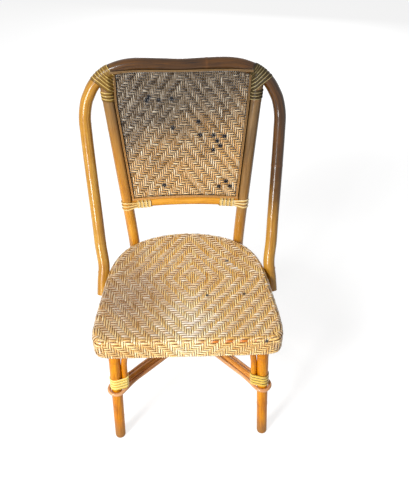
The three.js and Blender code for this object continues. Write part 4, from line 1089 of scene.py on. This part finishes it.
def seatMarks(shapes):
    # attributes that the strands' material reads at every point of the mesh: age with painted shade, a
    # painted highlight, dye, and painted shade in broken strands
    chipX, chipY = (np.array(wear["seatChips"]) * mm).T
    chips = onSeatTop(chipX, seat["front"] + chipY)
    # a chip beyond the ring's middle line lies lower, on the quarter circle of the roll
    beyond = np.clip(ringInset - chipY, 0, rollRadius)
    chips[:, 2] -= rollRadius - np.sqrt(rollRadius**2 - beyond**2)
    dyed = np.concatenate([shape.get("dyed", np.zeros(len(shape["points"]))) for shape in shapes])

    def marks(points):
        place = points[:, :2] - [0, seat["front"]]
        x, y = place.T
        fromShade, fromBleach = (
            np.hypot(*((place - wear[key + "Place"]) / wear[key + "Reach"]).T)
            for key in ("shade", "bleach")
        )
        rear = np.clip((y - wear["rearFrom"]) / wear["rearOver"], 0, 1)
        fade = np.clip(0.12 + x / wear["dyedOver"], 0.15, 1)
        return {
            # painted shade on the left middle, and darker towards the rear
            "age": np.clip(1.2 - 0.8 * fromShade, 0, 1) * 0.62 + 0.22 * rear,
            "bleach": np.clip(1.15 - fromBleach, 0, 1),
            "dye": dyed * fade * (np.abs(x) < wear["dyedUntil"]) * (y < wear["dyedDepth"]),
            "stain": chipStain(points, chips, wear["seatChip"]),
        }

    return marks


def makeSeat():
    grid = seatGrid()
    parts = {
        "seat_strands": (seatStrandShapes(grid, False), seatStrands),
        "seat_rows": (seatStrandShapes(grid, True), seatRows),
        "seat_side_rows": (apronRowShapes(grid), seatStrands),
    }
    for name, (shapes, material) in parts.items():
        addPiece(name, shapes, material, "seat_weave", seatMarks(shapes))


def makeRings():
    # round poles that follow the seat's outline inside the weave
    t = np.linspace(0, 1, 240, endpoint=False)
    upper = aroundSeat(t, ringInset, ringHeight)
    lower = aroundSeat(t, apronInset, apronRingHeight)
    ring = poleShape(upper, seat["ring"] / 2, zAxis, 20, closed=True)
    addPiece("seat_ring_pole", [ring], hiddenRattan, "seat_ring")
    ring = poleShape(lower, seat["apronRing"] / 2, zAxis, 16, closed=True)
    addPiece("apron_ring_pole", [ring], hiddenRattan, "apron_ring")


def backStrandShapes():
    # upright strands counted from the middle line, rows counted from the rail; their counts make the phase
    margin, width, rowWidth = (weave[key] for key in ("backMargin", "backStrandWidth", "backRowWidth"))
    half = int(weave["backHalf"] / weave["backStrandPitch"])
    columns = np.arange(-half, half + 1)
    x = weave["backMiddle"] + columns * weave["backStrandPitch"]
    rows = np.arange(3, int(back["height"] / weave["backRowPitch"]))
    v = back["railHeight"] + (rows + 0.5) * weave["backRowPitch"]
    lift = strandLift(np.abs(columns)[:, None] + rows)
    upright, level = [], []
    for k, line in enumerate(x):
        low = max(panelBottom(line), (abs(line) - panelEdge(0.0)) / back["postSplay"])
        high = panelTop(line)
        inside = (v > low + margin) & (v < high - margin)
        if inside.sum() < 2:
            continue
        cut = np.concatenate([[low], withMiddles(v[inside]), [high]])
        lifts = np.concatenate([[0], withMiddles(lift[k, inside]), [0]])
        upright.append(strandShape(backPoint(line, cut), backFront, lifts, width, 1.9 * k))
    corner = np.linspace(*weave["backCorner"], 60)
    for k, line in enumerate(v[v < panelTop(0.0)]):
        # a row ends at the post's edge, or under the hoop where that comes first
        under = corner[panelTop(corner) > line]
        end = min([panelEdge(line), *under[-1:]]) if len(under) < len(corner) else panelEdge(line)
        inside = np.abs(x) < end - margin
        cut = np.concatenate([[-end], withMiddles(x[inside]), [end]])
        lifts = np.concatenate([[0], withMiddles(-lift[inside, k]), [0]])
        level.append(strandShape(backPoint(cut, line), backFront, lifts, rowWidth, 60.4 + 2.1 * k))
    return upright, level


def backMarks(points):
    # darker towards the top left with age and painted shade, painted shade over the top, and a line of dirt
    # and painted shade beside the beads
    chips = backPoint(*(np.array(wear["backChips"]) * mm).T, seat["sheet"] / 2)
    x = points[:, 0]
    v = alongBack(points)
    high, aside = v / back["height"], x / weave["backHalf"]
    inset = back["beadWidth"] / 2
    # painted shade over the top of the panel
    soot = 0.25 * np.clip((high - 0.68) * 5 - 0.4 * aside, 0, 1)
    beads = np.stack([
        sideBeadX(-1, v) + inset - x,
        sideBeadX(1, v) - inset - x,
        topBeadV(x) - inset - v,
        panelBottom(x) + 2 * inset - v,
    ])
    # dirt and painted shade in the line beside the beads
    crevice = 0.9 * np.clip(1.5 * (1 - np.abs(beads).min(axis=0) / wear["crevice"]), 0, 1)
    return {
        "age": np.clip((high - 0.38 - 0.14 * aside) * 2, 0, 1.15),
        "dye": np.maximum(crevice, soot),
        "stain": chipStain(points, chips, wear["backChip"]),
    }


def makeBack():
    upright, level = backStrandShapes()
    addPiece("back_strands", upright, backStrands, "back_weave", backMarks)
    addPiece("back_rows", level, backRows, "back_weave", backMarks)


makeSeat()
makeRings()
makeBack()
print("weave made")


# Braces under the seat

brace = {
    "height": 216 * mm,
    "rearDrop": 20 * mm,
    "thick": 17 * mm,
    "loop": 9 * mm,
    "loopGap": 0.8 * mm,
    "arch": 15 * mm,
    "archSide": 318 * mm,
    "archFootGap": 4 * mm,
    "endShare": 0.022,              # how far short of the legs' middles a brace ends
    "joints": [160 * mm, 430 * mm],
    "archJoints": [120 * mm, 600 * mm],
}
crossStack = brace["thick"] / 2 + 2 * seat["fit"]
loopAside = brace["thick"] / 2 + seat["fit"] + brace["loop"] / 2
archAside = leg["thick"] / 2 + seat["fit"] + brace["arch"] / 2


def braceFrame(side):
    # from a front leg to the rear leg on the other side: both ends, the direction, and the level one
    # square to it
    start = frontLegAt(side, brace["height"])
    end = rearLegAt(-side, brace["height"] - brace["rearDrop"])
    along = unit(end - start)
    return start, end, along, np.array([-along[1], along[0], 0])


def braceLine(side, level, aside, share):
    # bowed up or down by a squared sine where the two cross
    start, end, _, across = braceFrame(side)
    share = np.asarray(share, float)[..., None]
    bow = level * crossStack * np.sin(np.pi * share) ** 2
    return start + share * (end - start) + aside * across + bow * zAxis


def loopLine(side, level):
    # along one side of the brace, half round the rear leg, back along the other side, and round the front leg
    start, end, along, across = braceFrame(side)
    legReach = legRadius(brace["height"], leg["thick"], frontLegTop)
    reach = legReach + brace["loopGap"] + brace["loop"] / 2

    def arc(centre, angle):
        turned = angle + np.linspace(0, np.pi, 13)[:, None]
        return centre + reach * (np.cos(turned) * across + np.sin(turned) * along)

    near = np.array([0.1, 0.2, 0.34])
    far = 1 - near[::-1]
    return np.vstack([
        braceLine(side, level, loopAside, np.append(0.501, far)),
        arc(end, 0),
        braceLine(side, level, -loopAside, np.concatenate([far[::-1], [0.5], near[::-1]])),
        arc(start, np.pi),
        braceLine(side, level, loopAside, np.append(near, 0.499)),
    ])


def archLine():
    # up beside the front legs, then over to a crown that rests against the seat ring
    foot = brace["height"] + brace["thick"] / 2 + brace["archFootGap"]
    crownZ = ringHeight - (seat["ring"] + brace["arch"]) / 3
    clear = (seat["ring"] + brace["arch"]) / 2 + seat["fit"]
    crownReach = ringInset + math.sqrt(clear**2 - (ringHeight - crownZ) ** 2) + seat["sheet"]
    crown = np.array([0, seat["front"] + crownReach, crownZ])
    low = frontLegAt(1, np.linspace(foot, brace["archSide"], 3)) - archAside * xAxis
    shares = np.array([(0.06, 0.3, 0.42), (0.22, 0.72, 0.8), (0.42, 0.95, 0.97), (1, 1, 1)])
    return mirrored(np.vstack([low, low[-1] + shares * (crown - low[-1])]))


def makeBraces():
    for word, side in bothSides:
        # the left brace passes below the right one
        path = braceLine(side, side, 0.0, np.linspace(brace["endShare"], 1 - brace["endShare"], 120))
        shape = poleShape(path, brace["thick"] / 2, zAxis, 20, seed=11 + side, joints=brace["joints"])
        addPiece(word + "_brace_pole", [shape], braceRattan, word + "_cross_brace")
        path = smoothLine(loopLine(side, side), 420)
        shape = poleShape(path, brace["loop"] / 2, zAxis, 12, seed=17 + side)
        addPiece(word + "_loop_cane", [shape], loopRattan, word + "_brace_loop")
    path = smoothLine(archLine(), 260)
    shape = poleShape(path, brace["arch"] / 2, yAxis, 18, seed=23.0, joints=brace["archJoints"])
    addPiece("arch_pole", [shape], legRattan, "front_arch")


makeBraces()
print("braces made")


# Bindings of flat cane

cane = {
    "stepsPerTurn": 90,
    "thickness": 1.9 * mm,
    "lift": 0.2 * mm,               # clear of the poles
    "legWidth": 9 * mm,
    "legPitch": 10.4 * mm,
    "legGap": 2.6 * mm,
    "legTurns": 4,
    "rearLegTurns": 3,
    "cornerWidth": 7 * mm,
    "cornerTurns": 7,
    "cornerFrom": (0.85, 38),       # share of the back's height at the post, and slant in degrees
    "cornerTo": (0.985, 58),
    "cornerPast": (3 * mm, 8 * mm),         # how far past the post the first and last strips pierce the weave
    "cornerSunk": 1 * mm,           # pressed into the varnish of the poles
    "postWidth": 6 * mm,
    "postPitch": 7.2 * mm,
    "postTurns": 3,
    "postFrom": 0.816,
    "postSlant": 0.28,              # the turns rise away from the panel
    "railWidth": 6.8 * mm,
    "railPitch": 9 * mm,
    "railTurns": 4,
    "railInset": 10 * mm,
    "strapWidth": 4 * mm,
    "strapPitch": 4.7 * mm,
    "strapSpread": 8.8 * mm,
    "strapShare": 0.8,              # the lashing bends at this share of the way out over the straps
    "crossingWidth": 6.4 * mm,
    "crossingPitch": 8 * mm,
    "crossingTurns": 3,
}
onPole = cane["thickness"] / 2 + cane["lift"]
square = np.zeros(3)                # stands for the direction of a pole that the strip crosses squarely


def windingShape(axisA, axisB, circles, turns, width, lift=onPole, seed=0.0):
    # A strip wound round a bundle of poles. In each direction it lies on the pole that reaches furthest that
    # way, and it runs straight from one pole to the next, as a string pulled tight round them would.
    angle = (-np.pi / 2 + 2 * np.pi * turns)[:, None]
    out = np.cos(angle) * axisA + np.sin(angle) * axisB
    centres, poles = (np.stack([np.broadcast_to(circle[k], out.shape) for circle in circles]) for k in (0, 2))
    radii = np.stack([np.broadcast_to(radius, turns.shape) for _, radius, _ in circles])
    owner = np.argmax(np.sum(centres * out, axis=-1) + radii, axis=0)
    pick = (owner, np.arange(len(turns)))
    path = centres[pick] + out * (radii[pick] + lift)[:, None]
    face = unit(out - dot(out, poles[pick]) * poles[pick])
    return stripShape(path, face, width, cane["thickness"], seed=seed)


def turnSteps(turns):
    return np.linspace(0, turns, int(turns * cane["stepsPerTurn"]) + 1)


def legBinding(side):
    # climbs evenly round a front leg and the arch beside it
    turns = turnSteps(cane["legTurns"])
    z = brace["height"] + (brace["loop"] + cane["legWidth"]) / 2 + cane["legGap"] + cane["legPitch"] * turns
    centre = frontLegAt(side, z)
    circles = [
        (centre, legRadius(z, leg["thick"], frontLegTop), square),
        (centre - side * archAside * xAxis, brace["arch"] / 2, square),
    ]
    return windingShape(side * xAxis, -yAxis, circles, turns, cane["legWidth"], seed=31 + side)


def rearLegBinding(side):
    # climbs evenly round the leaning rear leg
    turns = turnSteps(cane["rearLegTurns"])
    base = brace["height"] - brace["rearDrop"] + (brace["loop"] + cane["legWidth"]) / 2 + cane["legGap"]
    z = base + cane["legPitch"] * turns
    along = unit(rearLegAt(side, z + cane["legPitch"]) - rearLegAt(side, z - cane["legPitch"]))
    circles = [(rearLegAt(side, z), legRadius(z, back["post"], seatBottom), along)]
    return windingShape(side * xAxis, -yAxis, circles, turns, cane["legWidth"], seed=35 + side)


def cornerBinding(side):
    # slanting planes that fan from the post to the hoop; each plane cuts the hoop where the strip lies on it
    turns = turnSteps(cane["cornerTurns"])
    share = turns / cane["cornerTurns"]
    v, angle = (np.interp(share, [0, 1], ends) for ends in zip(cane["cornerFrom"], cane["cornerTo"]))
    v = v * back["height"]
    angle = np.radians(angle)[:, None]
    away = side * np.cos(angle) * xAxis + np.sin(angle) * backUp
    inner = backPoint(side * (postX(v) - back["post"] / 2), v)
    normal = np.cross(away, backFront)
    half = hoopPath[(hoopPath[:, 0] * side > 0) & (hoopPath[:, 2] > seat["height"] + back["height"] / 2)]
    best = np.argmin(np.abs(normal @ half.T - dot(normal, inner)), axis=1)
    crossing = half[best]
    crossing = crossing - dot(crossing - inner, normal) * normal
    # evened out by the mean of fifteen neighbours
    padded = np.pad(crossing, ((7, 7), (0, 0)), "edge")
    crossing = np.stack([np.convolve(values, np.ones(15) / 15, "valid") for values in padded.T], -1)
    postCentre = inner + away * back["post"] / 2
    beyond = dot(crossing - postCentre, away)[:, 0]
    past = np.interp(share, [0, 1], cane["cornerPast"])[:, None]
    circles = [
        (crossing, back["hoop"] / 2, directionAlong(half)[best]),
        (postCentre, np.where(beyond > 0, back["post"] / 2, 0), postAxis(side)),
        (inner - past * away, cane["thickness"] / 2, postAxis(side)),
    ]
    lift = cane["thickness"] / 2 - cane["cornerSunk"]
    return windingShape(away, backFront, circles, turns, cane["cornerWidth"], lift, seed=41 + side)


def postBinding(side):
    # climbs evenly round the post on a slant
    turns = turnSteps(cane["postTurns"])
    v = cane["postFrom"] * back["height"] + cane["postPitch"] * turns
    across = unit(side * xAxis + (cane["postSlant"] - back["postSplay"]) * backUp)
    circles = [(backPoint(side * postX(v), v), back["post"] / 2, postAxis(side))]
    return windingShape(across, backFront, circles, turns, cane["postWidth"], seed=45 + side)


lashingStart = back["post"] / 2 + cane["railInset"]
strapLength = lashingStart + cane["railTurns"] * cane["railPitch"] - cane["thickness"]


def strapShapes(side):
    # three passes of thin strip from the rail round the post and back, spread apart where they cross it
    shapes = []
    radius = back["post"] / 2 + onPole
    railFace = back["rail"] / 2 + onPole
    angle = np.linspace(np.pi / 2, -np.pi / 2, 36)
    railX = railEnd - np.linspace(strapLength, lashingStart, 10)
    outs = np.repeat([backFront, -backFront], len(railX), axis=0)
    arcOuts = side * np.cos(angle)[:, None] * xAxis + np.sin(angle)[:, None] * backFront
    outs = np.insert(outs, len(railX), arcOuts, axis=0)
    for k in (-1, 0, 1):
        spreadV = back["railHeight"] + cane["strapSpread"] * k
        arc = backPoint(side * (radius * np.cos(angle) + postX(spreadV)), spreadV, radius * np.sin(angle))
        v = railV(railX) + cane["strapPitch"] * k
        front, rear = (backPoint(side * railX, v, face * railFace) for face in (1, -1))
        path = np.vstack([front, arc, rear[::-1]])
        shapes.append(stripShape(path, outs, cane["strapWidth"], cane["thickness"], seed=51 + side + 3 * k))
    return shapes


def railLashing(side):
    # round the rail and the straps that lie on its front and rear
    turns = turnSteps(cane["railTurns"])
    x = railEnd - lashingStart - cane["railPitch"] * turns
    v = railV(x)
    half = cane["strapPitch"] + cane["strapWidth"] / 2
    corner = cane["thickness"] / 2
    strapFace = back["rail"] / 2 + cane["thickness"] - corner + cane["lift"]
    circles = [(backPoint(side * x, v), back["rail"] / 2, square)]
    for face in (-1, 1):
        for level in (-1, 1):
            place = backPoint(side * x, v + level * half * cane["strapShare"], face * strapFace)
            circles.append((place, corner, square))
    return windingShape(backUp, backFront, circles, turns, cane["railWidth"], seed=57 + side)


def crossingBinding():
    # round both braces where they cross, held apart by the loops beside them
    turns = turnSteps(cane["crossingTurns"])
    start, end, _, _ = braceFrame(1)
    middle = braceLine(1, 0, 0.0, start[0] / (start[0] - end[0]))
    offset = cane["crossingPitch"] * (turns - cane["crossingTurns"] / 2)
    centre = middle * [0, 1, 1] + offset[:, None] * yAxis
    radius = (brace["thick"] + seat["fit"]) / 2
    spread = (loopAside + brace["loop"] / 2) * math.sqrt(2) + np.abs(offset) - radius / 2
    circles = []
    for across in (-1, 1):
        for level in (-1, 1):
            place = centre + across * spread[:, None] * xAxis + level * crossStack * zAxis
            circles.append((place, radius, square))
    return windingShape(xAxis, zAxis, circles, turns, cane["crossingWidth"], seed=61.0)


def makeBindings():
    for word, side in bothSides:
        # the right side's bindings take the darker peel, painted shade
        cornerPeel = olivePeel if side < 0 else umberPeel
        made = {
            "leg_cane": ([legBinding(side)], strawPeel, "_front_leg_binding"),
            "rear_leg_cane": ([rearLegBinding(side)], strawPeel, "_rear_leg_binding"),
            "corner_cane": ([cornerBinding(side)], cornerPeel, "_corner_binding"),
            "post_cane": ([postBinding(side)], cornerPeel, "_post_binding"),
            "strap_cane": (strapShapes(side), creamPeel, "_rail_strap"),
            "lashing_cane": ([railLashing(side)], creamPeel, "_rail_lashing"),
        }
        for name, (shapes, material, node) in made.items():
            addPiece(f"{word}_{name}", shapes, material, word + node)
    addPiece("crossing_cane", [crossingBinding()], strawPeel, "crossing_binding")


makeBindings()
print("bindings made")


# Nails

nail = {
    "shank": 4 * mm,
    "head": 7.6 * mm,
    "headHeight": 1.4 * mm,
    "sunk": 0.9 * mm,
    "crown": 0.2 * mm,              # small flats at the top of the dome, under the head and at the point
    "neck": 0.1 * mm,
    "point": 0.3 * mm,
}


def nailShape(head, direction, length):
    # a profile turned round the nail's own line: a domed head, a straight shank and a point
    dome = np.linspace(0, np.pi / 2, 7)
    shank = nail["shank"] / 2
    radius = np.array([nail["crown"], *nail["head"] / 2 * np.sin(dome[1:]), shank, shank, nail["point"]])
    depth = np.array([*-nail["headHeight"] * np.cos(dome), nail["neck"], length - nail["shank"], length])
    axisA = unit(np.cross(direction, zAxis))
    axisB = np.cross(direction, axisA)
    angle = 2 * np.pi * np.arange(20)[:, None] / 20
    spoke = np.cos(angle) * axisA + np.sin(angle) * axisB
    rings = (head + depth[:, None] * direction)[:, None] + radius[:, None, None] * spoke
    return ringShape(rings, rings)


def makeNails():
    hoopShare = hoopShareAt(ringHeight)
    for word, side in bothSides:
        flip = np.array([side, 1, 1])
        hoopAxis = aroundSeat(hoopShare, besideHoop, ringHeight) * flip
        places = {
            "hoop": (hoopAxis, -outwardAt(hoopShare) * flip, back["hoop"], seat["ring"]),
            "post": (rearLegAt(side, ringHeight), -outwardAt(postShare) * flip, back["post"], seat["ring"]),
            "leg": (frontLegAt(side, ringHeight), side * xAxis, leg["thick"], seat["ring"] / 2),
        }
        for name, (axis, direction, thick, beyond) in places.items():
            shape = nailShape(axis - direction * (thick / 2 - nail["sunk"]), direction, thick + beyond)
            addPiece(f"{word}_{name}_pin", [shape], nailSteel, f"{word}_{name}_nail")


makeNails()
print("nails made")


# Floor and light

studio = {
    "floor": "#e4e2de",
    "floorSize": 9.0,
    "floorShade": 0.34,             # of the floor that the camera sees, and the glow that it adds
    "floorGlow": 0.78,
    "world": 0.19,
    "lamps": [
        # name, place, watts, width, height
        ("key", (-1.6, -1.92, 2.6), 108, 0.8, 0.8),
        ("low", (-1.5, -2.1, 1.2), 34, 0.6, 0.5),
        ("fill", (1.9, -1.3, 1.7), 2, 1.6, 1.6),
        ("rear", (0.4, 2.4, 1.0), 24, 1.4, 1.4),
    ],
    "aim": (0, 0, 0.5),
}
white = (1, 1, 1, 1)


def cameraOrMirror(tree):
    # 1 for what the camera, a mirror or glass sees
    rays = addNode(tree, "LightPath").node.outputs
    seen = addNode(tree, "Math", [rays["Is Camera Ray"], rays["Is Glossy Ray"]], operation="MAXIMUM")
    return addNode(tree, "Math", [seen, rays["Is Transmission Ray"]], operation="MAXIMUM")


def makeFloor():
    size = studio["floorSize"] / 2
    grey = studio["floorShade"]
    mesh = bpy.data.meshes.new("studio_floor")
    corners = [(-size, -size, 0), (size, -size, 0), (size, size, 0), (-size, size, 0)]
    mesh.from_pydata(corners, [], [(0, 1, 2, 3)])
    floor = bpy.data.objects.new("studio_floor", mesh)
    bpy.context.scene.collection.objects.link(floor)
    material, tree = newMaterial("painted_floor")
    plain = addNode(tree, "BsdfDiffuse", [studio["floor"]])
    shade = addNode(tree, "BsdfDiffuse", [(grey, grey, grey, 1)])
    glow = addNode(tree, "Emission", [white, studio["floorGlow"]])
    bright = addNode(tree, "AddShader", [shade, glow])
    addNode(tree, "OutputMaterial", [addNode(tree, "MixShader", [cameraOrMirror(tree), plain, bright])])
    mesh.materials.append(material)


def makeLight():
    world = bpy.data.worlds.new("studio")
    world.use_nodes = True
    tree = world.node_tree
    tree.nodes.clear()
    strength = addNode(tree, "MapRange", [cameraOrMirror(tree), 0.0, 1.0, studio["world"], 1.0])
    addNode(tree, "OutputWorld", [addNode(tree, "Background", [white, strength])])
    bpy.context.scene.world = world
    for name, place, watts, width, height in studio["lamps"]:
        light = bpy.data.lights.new(name, "AREA")
        light.shape = "RECTANGLE"
        light.energy = watts
        light.size = width
        light.size_y = height
        lamp = bpy.data.objects.new(name, light)
        lamp.location = place
        lamp.rotation_euler = (Vector(studio["aim"]) - Vector(place)).to_track_quat("-Z", "Y").to_euler()
        bpy.context.scene.collection.objects.link(lamp)
    bpy.context.scene.view_settings.view_transform = "Standard"


makeFloor()
makeLight()
print("studio made")
